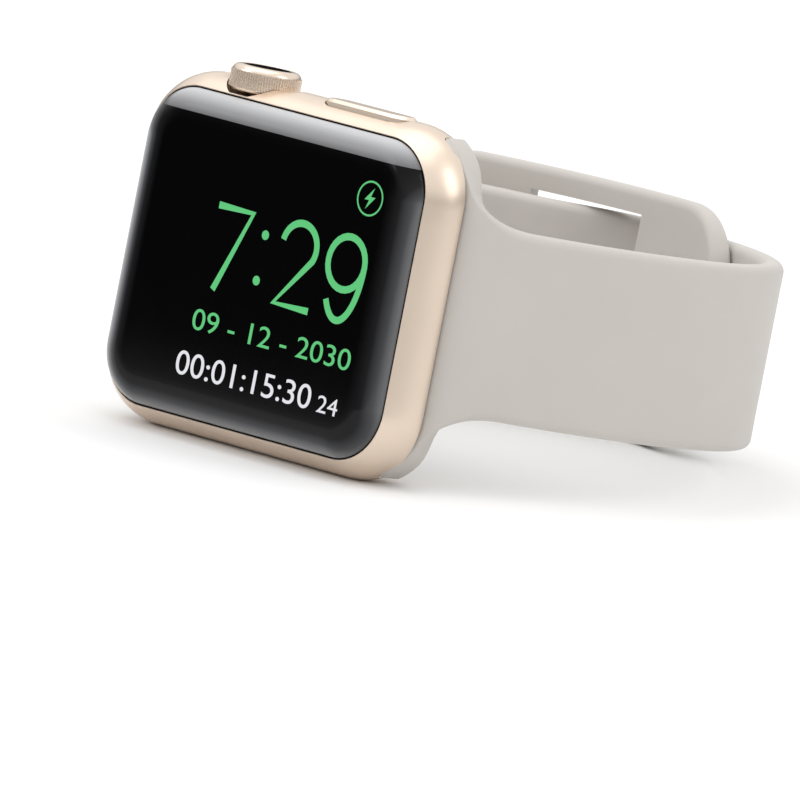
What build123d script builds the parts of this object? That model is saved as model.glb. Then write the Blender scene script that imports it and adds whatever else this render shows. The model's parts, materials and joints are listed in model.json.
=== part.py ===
"""A square smartwatch with a pin-and-tuck elastomer band, closed, lying on its side with the crown up.

Every piece is modelled in the watch frame: the origin is the middle of the case, X runs towards the six
o'clock end, Y away from the display and Z towards the crown side. The last step leans the whole watch back
until the case's lower side and the band's lower edge stand on one plane, and moves it onto that plane.
All sizes are millimetres.
"""
from build123d import *
import math
import os

# --- making cuts and rounds ---
PAST = 1.0                   # how far a cut runs past the face it opens
FULL_ROUND = 0.999           # share of a half circle that a fillet can reach

# --- case ---
CASE_LENGTH = 42.0
CASE_WIDTH = 35.9
CASE_CORNER = 7.5
SIDE_RADIUS = 5.2            # the barrelled side, in section
CASE_FRONT = -3.8
CASE_BACK = 4.2
WALL_END = 1.2               # between the cavity and a band channel
WALL_SIDE = 2.75             # at the crown side and opposite it
CAVITY_CORNER = 0.9
FLOOR = 0.8                  # under the cavity, towards the wrist
COIL_OPENING = 8.0           # radius of the hole in the floor

# --- glass and display ---
GLASS_RIM = 1.9              # from the case's widest outline in to the glass's edge
GLASS_FRONT = -5.5
GLASS_SKIRT = 0.4            # straight depth below the curved edge
GLASS_EDGE_RADIUS = 2.4
GLASS_GAP = 0.15
GASKET_THICKNESS = 0.15
LEDGE = 1.1                  # width of the shelf that the gasket lies on
PANEL_THICKNESS = 1.0
PANEL_GAP = 0.15

# --- crown ---
CROWN_X = -8.35
CROWN_Y = -0.2
CROWN_RADIUS = 3.6
CROWN_HEIGHT = 2.7
CROWN_PROUD = 1.45           # above the case's highest side line
CROWN_ROUND = 0.8
CROWN_BASE_ROUND = 0.45
CROWN_TRAVEL = 0.3
CROWN_GAP = 0.15
CAP_RADIUS = 2.46
CAP_DEPTH = 0.35
CAP_SUNK = 0.05              # below the crown's rim
CAP_CHAMFER = 0.05
SHAFT_RADIUS = 1.0
SHAFT_BORE_DEPTH = 1.1
BUSHING_WALL = 1.1
BUSHING_LENGTH = 2.7
RUNNING_CLEARANCE = 0.04
SEAL_WIDTH = 0.6
SEAL_GROOVE = 0.3
DISC_RADIUS = 1.9
DISC_THICKNESS = 0.3
DISC_SLOTS = 12
DISC_SLOT = (0.45, 0.2)
SHEAR_PLATE = (4.0, 3.4, 0.4)
SHEAR_PLATE_CORNER = 0.6
SWITCH_BODY = (3.2, 2.6, 1.4)
SWITCH_TIP_RADIUS = 0.6
SWITCH_TIP = 0.25
SWITCH_GAP = 0.05            # beyond the travel

# --- side button ---
BUTTON_X = 6.9
BUTTON_Y = -0.5
BUTTON_LENGTH = 11.35
BUTTON_WIDTH = 3.4
BUTTON_HEIGHT = 1.2
BUTTON_PROUD = 0.25
BUTTON_CHAMFER = 0.3
BUTTON_TRAVEL = 0.3
BUTTON_GAP = 0.12
STEM_RADIUS = 0.7
STEM_LENGTH = 2.2

# --- brackets and screws ---
BRACKET_THICKNESS = 0.4
BRACKET_FOOT = 3.2
CROWN_BRACKET_LENGTH = 6.2
CROWN_BRACKET_SHIFT = 0.5    # towards the twelve o'clock end, clear of the button's bracket
BUTTON_BRACKET_LENGTH = 8.8
SCREW_RADIUS = 0.35
SCREW_HEAD_RADIUS = 0.6
SCREW_HEAD = 0.35
SCREW_SLOT = 0.2
SCREW_DEPTH = 0.5
SCREW_INSET = 0.8

# --- back ---
BACK_LENGTH = 31.4
BACK_WIDTH = 29.2
BACK_CORNER = 6.0
BACK_THICKNESS = 0.7
BACK_GASKET = 0.15
BACK_ROUND = 0.4
WINDOW_RADIUS = 12.1
WINDOW_GAP = 0.05
DOME_RISE = 1.1
GASKET_BORE = 10.5
OPTIC_RADIUS = 1.6
OPTIC_CIRCLE = 5.0
OPTIC_THICKNESS = 0.25
OPTIC_COUNT = 4
OPTIC_GAP = 0.05             # behind the window, and between the optics and the coil

# --- inner parts: size along X, Y and Z ---
INNER_GAP = 0.3
BATTERY = (17.6, 4.4, 19.2)
SPEAKER = (10.4, 4.0, 3.2)
HAPTIC = (10.4, 4.2, 4.6)
BOARD = (10.8, 0.8, 11.6)
CHIP_HEIGHT = 1.1
CHIP_MARGIN = 0.35           # from the board's edge; each chip is a share of what is inside it
CHIPS = (((0.0, 0.55), (0.35, 1.0)), ((0.65, 1.0), (0.5, 1.0)), ((0.1, 0.9), (0.0, 0.28)))
MICROPHONE = (3.0, 1.6, 1.8)
COIL_OUTER = 7.6
COIL_INNER = 4.6
COIL_THICKNESS = 0.55
MAGNET_RADIUS = 4.0
SLOT_LENGTH = 4.0
SLOT_WIDTH = 1.0
SLOT_PITCH = 5.6
MIC_HOLE = 0.45

# --- band channels and lugs ---
CHANNEL_DEPTH = 4.2
CHANNEL_WIDTH = 2.2          # of the undercut, along X
CHANNEL_FRONT = -0.35
CHANNEL_BACK = 3.5
MOUTH_FRONT = 0.2
MOUTH_BACK = 3.1
CHANNEL_ROUND = 0.5
LUG_CLEARANCE = 0.08
LUG_INSET = 0.45             # of the lug's ends from the case's widest outline
FLARE_RADIUS = 4.8

# --- band release ---
RELEASE_LENGTH = 5.6
RELEASE_WIDTH = 1.4
RELEASE_PROUD = 0.12
RELEASE_GAP = 0.05
RELEASE_TRAVEL = 0.4
RELEASE_SETBACK = 3.1        # from the case's end to the middle of the button
CATCH_HEIGHT = 0.7
LEAF_ROOM = 0.6              # for the spring, under the catch's travel
LEAF_THICKNESS = 0.15
LEAF_WIDTH = 0.9
LEAF_SAG = 0.35

# --- band ---
STRAP_WIDTH = 18.9
STRAP_THICKNESS = 2.4
LAYER_GAP = 0.2              # between two layers of the closed band
BAND_OVERHANG = 10.3         # how far the middle of the band stands out past the case's end
BAND_MIDDLE = 25.0           # depth of the band's widest point
BAND_BULGE = 28.0            # from there back to the middle of the outer layer
BACK_FLATTEN = 1.08          # 1 makes the back one circle
CLOSURE_WIDTH = 25.0         # of the pin strap round its slot
CLOSURE_LENGTH = 32.0
CLOSURE_CORNER = 8.0
SHOULDER_RADIUS = 5.0
SHOULDER_RUN = 5.5
PIN_TIP = 9.0                # from the pin to the pin strap's tip
PIN_X = 5.0
SLOT_START = 0.5             # degrees past the middle of the back
SLOT_SWEEP = 23.0
DIVE_START = 2.5
DIVE_SWEEP = 19.0
SLOT_SIDE_GAP = 0.5
TAIL_LENGTH = 19.0           # past the slot
TAIL_CORNER = 7.0
PITCH = 5.0                  # from hole to hole
HOLE_RADIUS = 1.75
HOLES_BEFORE_PIN = 2
HOLES_AFTER_PIN = 4
PIN_SHANK = 1.45
PIN_HEAD_RADIUS = 2.7
PIN_HEAD = 0.8
PIN_HEAD_GAP = 0.1
PIN_BASE_RADIUS = 2.4
PIN_BASE = 0.7
PATH_STEP = 1.5              # between points along the band

# --- worked out ---
HALF_LENGTH = CASE_LENGTH / 2
HALF_WIDTH = CASE_WIDTH / 2
CAVITY_FRONT = CASE_FRONT + GLASS_SKIRT + GASKET_THICKNESS + PANEL_THICKNESS + PANEL_GAP
CAVITY_BACK = CASE_BACK - FLOOR
CAVITY_END = HALF_LENGTH - CHANNEL_DEPTH - WALL_END
CAVITY_SIDE = HALF_WIDTH - WALL_SIDE
GLASS_BACK = CASE_FRONT + GLASS_SKIRT
GASKET_BACK = GLASS_BACK + GASKET_THICKNESS
LEDGE_LENGTH = CASE_LENGTH - 2 * (GLASS_RIM + LEDGE)
LEDGE_WIDTH = CASE_WIDTH - 2 * (GLASS_RIM + LEDGE)
LEDGE_CORNER = CASE_CORNER - GLASS_RIM - LEDGE
CROWN_TOP = HALF_WIDTH + CROWN_PROUD
CROWN_BASE = CROWN_TOP - CROWN_HEIGHT
WELL_FLOOR = CROWN_BASE - CROWN_TRAVEL - SWITCH_GAP
BUSHING_RADIUS = SHAFT_RADIUS + RUNNING_CLEARANCE + BUSHING_WALL
BUSHING_BASE = WELL_FLOOR - BUSHING_LENGTH
DISC_TOP = BUSHING_BASE - INNER_GAP - CROWN_TRAVEL
SHAFT_BASE = DISC_TOP - DISC_THICKNESS - INNER_GAP
PLATE_TOP = SHAFT_BASE - SWITCH_GAP
CROWN_TIP_TOP = PLATE_TOP - SHEAR_PLATE[2] - CROWN_TRAVEL - SWITCH_GAP
BUTTON_TOP = HALF_WIDTH + BUTTON_PROUD
BUTTON_BASE = BUTTON_TOP - BUTTON_HEIGHT
POCKET_FLOOR = BUTTON_BASE - BUTTON_TRAVEL - SWITCH_GAP
STEM_BASE = BUTTON_BASE - STEM_LENGTH
BUTTON_TIP_TOP = STEM_BASE - BUTTON_TRAVEL - SWITCH_GAP
COVER_FRONT = CASE_BACK + BACK_GASKET
COVER_BACK = COVER_FRONT + BACK_THICKNESS
CHANNEL_END = HALF_LENGTH - CHANNEL_DEPTH
CHANNEL_OPEN = CHANNEL_END + CHANNEL_WIDTH
BAND_HALF = HALF_LENGTH + BAND_OVERHANG
LAYER_STEP = STRAP_THICKNESS + LAYER_GAP
RELEASE_X = HALF_LENGTH - RELEASE_SETBACK
LUG_BACK = CHANNEL_BACK - LUG_CLEARANCE
CATCH_POCKET = CATCH_HEIGHT + RELEASE_TRAVEL + LEAF_ROOM


# --- helpers ---
def across(sketch, front, back):
    """Extrudes a sketch, drawn in X and Z, from one depth to another."""
    return extrude(Plane.XZ.offset(-back) * sketch, amount=back - front)


def upright(sketch, low, high):
    """Extrudes a sketch, drawn in X and Y, from one height to another."""
    return extrude(Plane.XY.offset(low) * sketch, amount=high - low)


def column(x, y, radius, low, high):
    """A cylinder along Z."""
    return upright(Pos(x, y) * Circle(radius), low, high)


def post(x, z, radius, front, back):
    """A cylinder along Y."""
    return across(Pos(x, z) * Circle(radius), front, back)


def block(x, y, z):
    """A box from three (low, high) pairs."""
    centre = [(low + high) / 2 for low, high in (x, y, z)]
    return Pos(*centre) * Box(x[1] - x[0], y[1] - y[0], z[1] - z[0])


def rounded_slab(length, width, corner, radius):
    """A plate with fully rounded edges, centred on the origin, its thickness along Y."""
    slab = across(RectangleRounded(length, width, corner), -radius, radius)
    groups = slab.edges().group_by(Axis.Y)
    return fillet(groups[0] + groups[-1], radius * FULL_ROUND)


def chord_drop(radius, height):
    """How far a circle's surface stands in from its widest line, at a height above that line."""
    return radius - math.sqrt(radius ** 2 - height ** 2)


def mirrored(solid):
    """The same piece at the other end of the watch."""
    return solid.mirror(Plane.YZ)


# --- band path: every arc is (centre x, centre y, radius) ---
def bent_side(bulge):
    """The two arcs, wide and back, of one half of the loop that reaches bulge past the widest point."""
    back = BACK_FLATTEN * (BAND_HALF ** 2 + bulge ** 2) / (2 * bulge)
    side = (BAND_HALF ** 2 + bulge ** 2 - 2 * back * bulge) / (2 * (BAND_HALF - back))
    return (BAND_HALF - side, BAND_MIDDLE, side), (0.0, BAND_MIDDLE + bulge - back, back)


def flank():
    """The arc from the lug out to the widest point, tangent there."""
    start_x = HALF_LENGTH
    start_y = MOUTH_FRONT + LUG_CLEARANCE
    outer = BAND_HALF + STRAP_THICKNESS / 2
    radius = ((outer - start_x) ** 2 + (BAND_MIDDLE - start_y) ** 2) / (2 * (outer - start_x))
    return outer - radius, BAND_MIDDLE, radius - STRAP_THICKNESS / 2


def arc_points(arc, start, end):
    """Evenly spaced points on an arc; angles are degrees from +X towards +Y."""
    x, y, radius = arc
    count = max(2, round(abs(math.radians(end - start)) * radius / PATH_STEP))
    angles = [math.radians(start + (end - start) * i / count) for i in range(count + 1)]
    return [(x + radius * math.cos(a), y + radius * math.sin(a)) for a in angles]


def joined(*runs):
    """One list of points from runs that start where the last one ended."""
    points = list(runs[0])
    for run in runs[1:]:
        points += run[1:]
    return points


def half_loop(bulge):
    """Middle line from inside the channel's mouth, round the +X side, to the middle of the back."""
    wide, back = bent_side(bulge)
    turn = math.degrees(math.atan2(wide[1] - back[1], wide[0] - back[0]))
    front = flank()
    start = -math.degrees(math.acos((HALF_LENGTH - WALL_END - front[0]) / front[2]))
    return joined(arc_points(front, start, 0), arc_points(wide, 0, turn), arc_points(back, turn, 90))


def flipped(points):
    """Points mirrored to the other side of the watch."""
    return [(-x, y) for x, y in points]


def layered(arc, offset):
    """The same arc in another layer of the band."""
    return arc[0], arc[1], arc[2] + offset


def dive_points():
    """The holes strap passing in through the slot, from the outer layer to the inner one."""
    x, y, radius = bent_side(BAND_BULGE - LAYER_STEP)[1]
    count = round(math.radians(DIVE_SWEEP) * radius / PATH_STEP)
    points = []
    for i in range(count + 1):
        angle = math.radians(90 + DIVE_START + DIVE_SWEEP * i / count)
        depth = radius + LAYER_STEP * math.cos(math.pi * i / count)
        points.append((x + depth * math.cos(angle), y + depth * math.sin(angle)))
    return points


def cut_to(points, distance):
    """The first part of a middle line, of the given length."""
    kept = [points[0]]
    travelled = 0.0
    for start, end in zip(points, points[1:]):
        travelled += math.dist(start, end)
        if travelled > distance - PATH_STEP / 2:
            break
        kept.append(end)
    return kept + [station(points, distance)[0]]


def holes_path():
    """Middle line of the holes strap: outside the pin strap's tip, through the slot, then inside."""
    wide, back = bent_side(BAND_BULGE - LAYER_STEP)
    turn = 180 - math.degrees(math.atan2(wide[1] - back[1], wide[0] - back[0]))
    wide = (-wide[0], wide[1], wide[2])
    outside = joined(half_loop(BAND_BULGE), arc_points(layered(back, LAYER_STEP), 90, 90 + DIVE_START))
    through = joined(outside, dive_points())
    inside = arc_points(layered(back, -LAYER_STEP), 90 + DIVE_START + DIVE_SWEEP, turn)
    whole = joined(through, inside, arc_points(layered(wide, -LAYER_STEP), turn, 180))
    return cut_to(whole, path_length(through) + TAIL_LENGTH)


def pin_path():
    """Middle line of the pin strap: round the -X side and under the holes strap to its tip."""
    under = layered(bent_side(BAND_BULGE)[1], -LAYER_STEP)
    tip = 90 - math.degrees((PIN_X + PIN_TIP) / under[2])
    return joined(flipped(half_loop(BAND_BULGE - LAYER_STEP)), arc_points(under, 90, tip))


def normals(points):
    """Unit normals of a middle line, pointing to its right."""
    result = []
    for i in range(len(points)):
        before = points[max(i - 1, 0)]
        after = points[min(i + 1, len(points) - 1)]
        dx = after[0] - before[0]
        dy = after[1] - before[1]
        size = math.hypot(dx, dy)
        result.append((dy / size, -dx / size))
    return result


def ribbon(points, thickness):
    """The strip of the given thickness along a middle line, in X and Y."""
    sides = []
    for sign in (0.5, -0.5):
        reach = sign * thickness
        moved = [(p[0] + n[0] * reach, p[1] + n[1] * reach) for p, n in zip(points, normals(points))]
        sides.append(Spline(*moved))
    ends = [Line(sides[0] @ 0, sides[1] @ 0), Line(sides[0] @ 1, sides[1] @ 1)]
    return make_face(Curve() + sides + ends)


def station(points, distance):
    """The place and direction at a distance along a middle line."""
    for start, end in zip(points, points[1:]):
        run = math.dist(start, end)
        if distance <= run or end is points[-1]:
            break
        distance -= run
    direction = ((end[0] - start[0]) / run, (end[1] - start[1]) / run)
    return (start[0] + direction[0] * distance, start[1] + direction[1] * distance), direction


def station_plane(points, distance):
    """A plane lying on the band: its x runs along the band, its y up, its z out of the wrist."""
    place, direction = station(points, distance)
    out = (direction[1], -direction[0], 0)
    return Plane(origin=(place[0], place[1], 0), x_dir=(direction[0], direction[1], 0), z_dir=out)


def path_length(points):
    """Length of a middle line."""
    return sum(math.dist(a, b) for a, b in zip(points, points[1:]))


def distance_to_x(points, x):
    """Distance along a path to where the back of the band crosses x."""
    travelled = 0.0
    for start, end in zip(points, points[1:]):
        run = math.dist(start, end)
        if start[1] > BAND_MIDDLE and (start[0] - x) * (end[0] - x) <= 0:
            return travelled + run * (start[0] - x) / (start[0] - end[0])
        travelled += run
    raise ValueError("the band doesn't cross that place")


# --- case ---
def case_outline(inset):
    """The case's widest outline, set in all round."""
    return RectangleRounded(CASE_LENGTH - 2 * inset, CASE_WIDTH - 2 * inset, CASE_CORNER - inset)


def channel_profile(clearance):
    """Section of a band channel, or with a clearance of the lug in it, in X and Y at the +X end."""
    width = CHANNEL_WIDTH - 2 * clearance
    height = CHANNEL_BACK - CHANNEL_FRONT - 2 * clearance
    centre = ((CHANNEL_END + CHANNEL_OPEN) / 2, (CHANNEL_FRONT + CHANNEL_BACK) / 2)
    bulb = Pos(*centre) * RectangleRounded(width, height, CHANNEL_ROUND)
    neck_end = HALF_LENGTH + PAST if clearance == 0 else HALF_LENGTH - LUG_INSET
    neck_height = MOUTH_BACK - MOUTH_FRONT - 2 * clearance
    neck_centre = ((centre[0] + neck_end) / 2, (MOUTH_FRONT + MOUTH_BACK) / 2)
    return bulb + Pos(*neck_centre) * Rectangle(neck_end - centre[0], neck_height)


def case_housing():
    """The aluminium case: barrelled sides, front recess, cavity, channels, wells and sound holes."""
    slab = rounded_slab(CASE_LENGTH, CASE_WIDTH, CASE_CORNER, SIDE_RADIUS)
    keep = block((-HALF_LENGTH, HALF_LENGTH), (CASE_FRONT, CASE_BACK), (-HALF_WIDTH, HALF_WIDTH))
    case = slab & keep
    case -= across(case_outline(GLASS_RIM - GLASS_GAP), CASE_FRONT - PAST, GASKET_BACK)
    case -= across(RectangleRounded(LEDGE_LENGTH, LEDGE_WIDTH, LEDGE_CORNER), CASE_FRONT, CAVITY_FRONT)
    cavity = RectangleRounded(2 * CAVITY_END, 2 * CAVITY_SIDE, CAVITY_CORNER)
    case -= across(cavity, CASE_FRONT, CAVITY_BACK)
    case -= post(0, 0, COIL_OPENING, 0, CASE_BACK + PAST)
    channel = upright(channel_profile(0), -HALF_WIDTH, HALF_WIDTH)
    case -= channel
    case -= mirrored(channel)
    case -= column(CROWN_X, CROWN_Y, CROWN_RADIUS + CROWN_GAP, WELL_FLOOR, HALF_WIDTH + PAST)
    case -= column(CROWN_X, CROWN_Y, BUSHING_RADIUS, CAVITY_SIDE - PAST, HALF_WIDTH)
    case -= upright(button_outline(BUTTON_GAP), POCKET_FLOOR, HALF_WIDTH + PAST)
    for x in stem_places():
        case -= column(x, BUTTON_Y, STEM_RADIUS + RUNNING_CLEARANCE, CAVITY_SIDE - PAST, HALF_WIDTH)
    for sign in (1, -1):
        hole = Pos(sign * RELEASE_X, 0) * Rot(0, 0, 90)
        case -= across(hole * SlotOverall(RELEASE_LENGTH + 2 * RELEASE_GAP,
                                          RELEASE_WIDTH + 2 * RELEASE_GAP), CHANNEL_BACK, CASE_BACK + PAST)
    for x in sound_slots():
        case -= upright(Pos(x, 0) * SlotOverall(SLOT_LENGTH, SLOT_WIDTH), -HALF_WIDTH, -CAVITY_SIDE)
    case -= column(microphone_x(), 0, MIC_HOLE, -HALF_WIDTH, -CAVITY_SIDE)
    for x, z in screw_places():
        case -= post(x, z, SCREW_RADIUS, CAVITY_BACK, CAVITY_BACK + SCREW_DEPTH)
    return case


# --- glass and display ---
def cover_glass():
    """The glass: a flat face whose edges curve down to the case."""
    drop = CASE_FRONT - GLASS_FRONT
    grow = chord_drop(GLASS_EDGE_RADIUS, GLASS_EDGE_RADIUS - drop)
    inset = GLASS_RIM - grow
    length = CASE_LENGTH - 2 * inset
    width = CASE_WIDTH - 2 * inset
    slab = rounded_slab(length, width, CASE_CORNER - inset, GLASS_EDGE_RADIUS)
    curved = Pos(0, GLASS_FRONT + GLASS_EDGE_RADIUS, 0) * slab
    curved &= block((-length, length), (GLASS_FRONT - PAST, CASE_FRONT), (-width, width))
    return curved + across(case_outline(GLASS_RIM), CASE_FRONT, GLASS_BACK)


def display_gasket():
    """The seal that the glass is bonded to."""
    inner = RectangleRounded(LEDGE_LENGTH, LEDGE_WIDTH, LEDGE_CORNER)
    return across(case_outline(GLASS_RIM) - inner, GLASS_BACK, GASKET_BACK)


def display_panel():
    """The lit panel, bonded to the back of the glass inside the ledge."""
    size = (LEDGE_LENGTH - 2 * PANEL_GAP, LEDGE_WIDTH - 2 * PANEL_GAP, LEDGE_CORNER - PANEL_GAP)
    return across(RectangleRounded(*size), GLASS_BACK, GLASS_BACK + PANEL_THICKNESS)


# --- crown ---
def crown_knob():
    """The turned knob, with a recess for its end cap and a bore for the shaft."""
    knob = column(CROWN_X, CROWN_Y, CROWN_RADIUS, CROWN_BASE, CROWN_TOP)
    knob = fillet(knob.edges().group_by(Axis.Z)[-1], CROWN_ROUND)
    knob = fillet(knob.edges().group_by(Axis.Z)[0], CROWN_BASE_ROUND)
    knob -= column(CROWN_X, CROWN_Y, CAP_RADIUS, CROWN_TOP - CAP_DEPTH, CROWN_TOP)
    return knob - column(CROWN_X, CROWN_Y, SHAFT_RADIUS, CROWN_BASE, CROWN_BASE + SHAFT_BORE_DEPTH)


def crown_cap():
    """The dark disc in the crown's end, a little below its rim."""
    cap = column(CROWN_X, CROWN_Y, CAP_RADIUS, CROWN_TOP - CAP_DEPTH, CROWN_TOP - CAP_SUNK)
    return chamfer(cap.edges().group_by(Axis.Z)[-1], CAP_CHAMFER)


def seal_range():
    """Heights of the seal ring, in the middle of the bushing with room to travel."""
    middle = (BUSHING_BASE + WELL_FLOOR) / 2
    return middle - SEAL_WIDTH / 2, middle + SEAL_WIDTH / 2


def crown_shaft():
    """The steel shaft, pressed into the knob."""
    shaft = column(CROWN_X, CROWN_Y, SHAFT_RADIUS, SHAFT_BASE, CROWN_BASE + SHAFT_BORE_DEPTH)
    return shaft - crown_seal_ring()


def crown_seal_ring():
    """The seal ring in the shaft's groove."""
    inner = SHAFT_RADIUS - SEAL_GROOVE
    ring = Circle(SHAFT_RADIUS) - Circle(inner)
    return upright(Pos(CROWN_X, CROWN_Y) * ring, *seal_range())


def crown_bushing():
    """The bushing pressed into the case wall."""
    ring = Circle(BUSHING_RADIUS) - Circle(SHAFT_RADIUS + RUNNING_CLEARANCE)
    return upright(Pos(CROWN_X, CROWN_Y) * ring, BUSHING_BASE, WELL_FLOOR)


def crown_encoder_disc():
    """The slotted disc that the rotation sensor reads."""
    disc = Circle(DISC_RADIUS) - Circle(SHAFT_RADIUS)
    disc -= PolarLocations((DISC_RADIUS + SHAFT_RADIUS) / 2, DISC_SLOTS) * Rectangle(*DISC_SLOT)
    return upright(Pos(CROWN_X, CROWN_Y) * disc, DISC_TOP - DISC_THICKNESS, DISC_TOP)


def crown_shear_plate():
    """The plate that the shaft's end pushes on to the switch."""
    length, width, height = SHEAR_PLATE
    outline = Pos(CROWN_X, CROWN_Y) * RectangleRounded(length, width, SHEAR_PLATE_CORNER)
    return upright(outline, PLATE_TOP - height, PLATE_TOP)


def switch_at(x, y, tip_top):
    """A dome switch whose tip ends at tip_top."""
    length, width, height = SWITCH_BODY
    base = tip_top - SWITCH_TIP - height
    body = block((x - length / 2, x + length / 2), (y - width / 2, y + width / 2), (base, base + height))
    return body + column(x, y, SWITCH_TIP_RADIUS, base, tip_top)


def switch_base(tip_top):
    """Height of a switch's underside."""
    return tip_top - SWITCH_TIP - SWITCH_BODY[2]


def bracket_at(x, length, top):
    """A bent bracket: an upright plate under a switch and a foot on the case's floor."""
    ends = (x - length / 2, x + length / 2)
    plate = block(ends, (CAVITY_FRONT + INNER_GAP, CAVITY_BACK), (top - BRACKET_THICKNESS, top))
    foot_low = top - BRACKET_THICKNESS - BRACKET_FOOT
    foot = block(ends, (CAVITY_BACK - BRACKET_THICKNESS, CAVITY_BACK), (foot_low, top))
    bracket = plate + foot
    for sign in (1, -1):
        place = x + sign * (length / 2 - SCREW_INSET)
        bracket -= post(place, top - BRACKET_FOOT / 2 - BRACKET_THICKNESS, SCREW_RADIUS,
                        CAVITY_BACK - 2 * BRACKET_THICKNESS, CAVITY_BACK + PAST)
    return bracket


def brackets():
    """Middle, length and top of each bracket."""
    return ((CROWN_X - CROWN_BRACKET_SHIFT, CROWN_BRACKET_LENGTH, switch_base(CROWN_TIP_TOP)),
            (BUTTON_X, BUTTON_BRACKET_LENGTH, switch_base(BUTTON_TIP_TOP)))


def screw_places():
    """X and Z of every bracket screw."""
    return [(x + sign * (length / 2 - SCREW_INSET), top - BRACKET_FOOT / 2 - BRACKET_THICKNESS)
            for x, length, top in brackets() for sign in (1, -1)]


def bracket_screws():
    """The screws that hold both brackets to the case's floor."""
    seat = CAVITY_BACK - BRACKET_THICKNESS
    screws = []
    for x, z in screw_places():
        shank = post(x, z, SCREW_RADIUS, seat, CAVITY_BACK + SCREW_DEPTH)
        head = post(x, z, SCREW_HEAD_RADIUS, seat - SCREW_HEAD, seat)
        slot = block((x - SCREW_HEAD_RADIUS, x + SCREW_HEAD_RADIUS),
                     (seat - SCREW_HEAD, seat - SCREW_HEAD / 2),
                     (z - SCREW_SLOT / 2, z + SCREW_SLOT / 2))
        screws.append(shank + head - slot)
    return Compound(children=screws)


# --- side button ---
def button_outline(grow):
    """Outline of the side button, or of its pocket, in X and Y."""
    outline = SlotOverall(BUTTON_LENGTH + 2 * grow, BUTTON_WIDTH + 2 * grow)
    return Pos(BUTTON_X, BUTTON_Y) * outline


def stem_places():
    """X of the side button's stems: a guide at each end and the one that clicks."""
    reach = (BUTTON_LENGTH - BUTTON_WIDTH) / 2
    return (BUTTON_X - reach, BUTTON_X, BUTTON_X + reach)


def side_button_cap():
    """The long button, slightly proud of the case."""
    cap = upright(button_outline(0), BUTTON_BASE, BUTTON_TOP)
    return chamfer(cap.edges().group_by(Axis.Z)[-1], BUTTON_CHAMFER)


def side_button_stems():
    """The three pins under the button."""
    return Compound(children=[column(x, BUTTON_Y, STEM_RADIUS, STEM_BASE, BUTTON_BASE)
                              for x in stem_places()])


# --- back ---
def back_cover():
    """The back plate round the sensor window."""
    plate = across(RectangleRounded(BACK_LENGTH, BACK_WIDTH, BACK_CORNER), COVER_FRONT, COVER_BACK)
    plate = fillet(plate.edges().group_by(Axis.Y)[-1], BACK_ROUND)
    return plate - post(0, 0, WINDOW_RADIUS + WINDOW_GAP, COVER_FRONT, COVER_BACK)


def back_gasket():
    """The seal under the back plate and the window."""
    inset = BACK_ROUND
    outline = RectangleRounded(BACK_LENGTH - 2 * inset, BACK_WIDTH - 2 * inset, BACK_CORNER - inset)
    return across(outline - Circle(GASKET_BORE), CASE_BACK, COVER_FRONT)


def sensor_window():
    """The domed window that rests on the wrist."""
    radius = (WINDOW_RADIUS ** 2 + DOME_RISE ** 2) / (2 * DOME_RISE)
    ball = Pos(0, COVER_BACK + DOME_RISE - radius, 0) * Sphere(radius)
    window = post(0, 0, WINDOW_RADIUS, COVER_FRONT, COVER_BACK + DOME_RISE)
    return window & ball


def sensor_optics():
    """The light sources and sensors behind the window."""
    back = COVER_FRONT - OPTIC_GAP
    disc = across(Circle(OPTIC_RADIUS), back - OPTIC_THICKNESS, back)
    angles = [math.tau * (i + 0.5) / OPTIC_COUNT for i in range(OPTIC_COUNT)]
    return Compound(children=[Pos(OPTIC_CIRCLE * math.cos(a), 0, OPTIC_CIRCLE * math.sin(a)) * disc
                              for a in angles])


def coil_depths():
    """Depths of the coil and magnet, under the optics."""
    back = COVER_FRONT - 2 * OPTIC_GAP - OPTIC_THICKNESS
    return back - COIL_THICKNESS, back


def charging_coil():
    """The flat coil that takes the charge."""
    return across(Circle(COIL_OUTER) - Circle(COIL_INNER), *coil_depths())


def charging_magnet():
    """The magnet that centres a charger."""
    return across(Circle(MAGNET_RADIUS), *coil_depths())


# --- inner parts ---
def boxed(size, x_low, y_low, z_low):
    """A box from its lowest corner."""
    return block((x_low, x_low + size[0]), (y_low, y_low + size[1]), (z_low, z_low + size[2]))


def inner_low():
    """The cavity's lowest corner, with a gap."""
    return -CAVITY_END + INNER_GAP, CAVITY_FRONT + INNER_GAP, -CAVITY_SIDE + INNER_GAP


def speaker():
    """The speaker, behind its slots."""
    return boxed(SPEAKER, *inner_low())


def sound_slots():
    """X of the speaker's slots."""
    middle = inner_low()[0] + SPEAKER[0] / 2
    return middle - SLOT_PITCH / 2, middle + SLOT_PITCH / 2


def haptic_motor():
    """The linear motor that taps the wrist."""
    x, y, z = inner_low()
    return boxed(HAPTIC, x, y, z + SPEAKER[2] + INNER_GAP)


def logic_board():
    """The board, with its chips towards the display."""
    x, y, z = inner_low()
    z += SPEAKER[2] + HAPTIC[2] + 2 * INNER_GAP
    back = CAVITY_BACK - BRACKET_THICKNESS - SCREW_HEAD - INNER_GAP
    board = boxed(BOARD, x, back - BOARD[1], z)
    length = BOARD[0] - 2 * CHIP_MARGIN
    width = BOARD[2] - 2 * CHIP_MARGIN
    for along, up in CHIPS:
        chip = block([share * length for share in along], (-CHIP_HEIGHT, 0), [share * width for share in up])
        board += Pos(x + CHIP_MARGIN, back - BOARD[1], z + CHIP_MARGIN) * chip
    return board


def battery():
    """The pouch cell."""
    x, y, z = inner_low()
    cell = boxed(BATTERY, CAVITY_END - INNER_GAP - BATTERY[0], y, z + MICROPHONE[2] + INNER_GAP)
    return fillet(cell.edges().filter_by(Axis.Z), INNER_GAP)


def microphone_x():
    """Middle of the microphone and its hole."""
    return CAVITY_END - INNER_GAP - BATTERY[0] + MICROPHONE[0]


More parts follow.
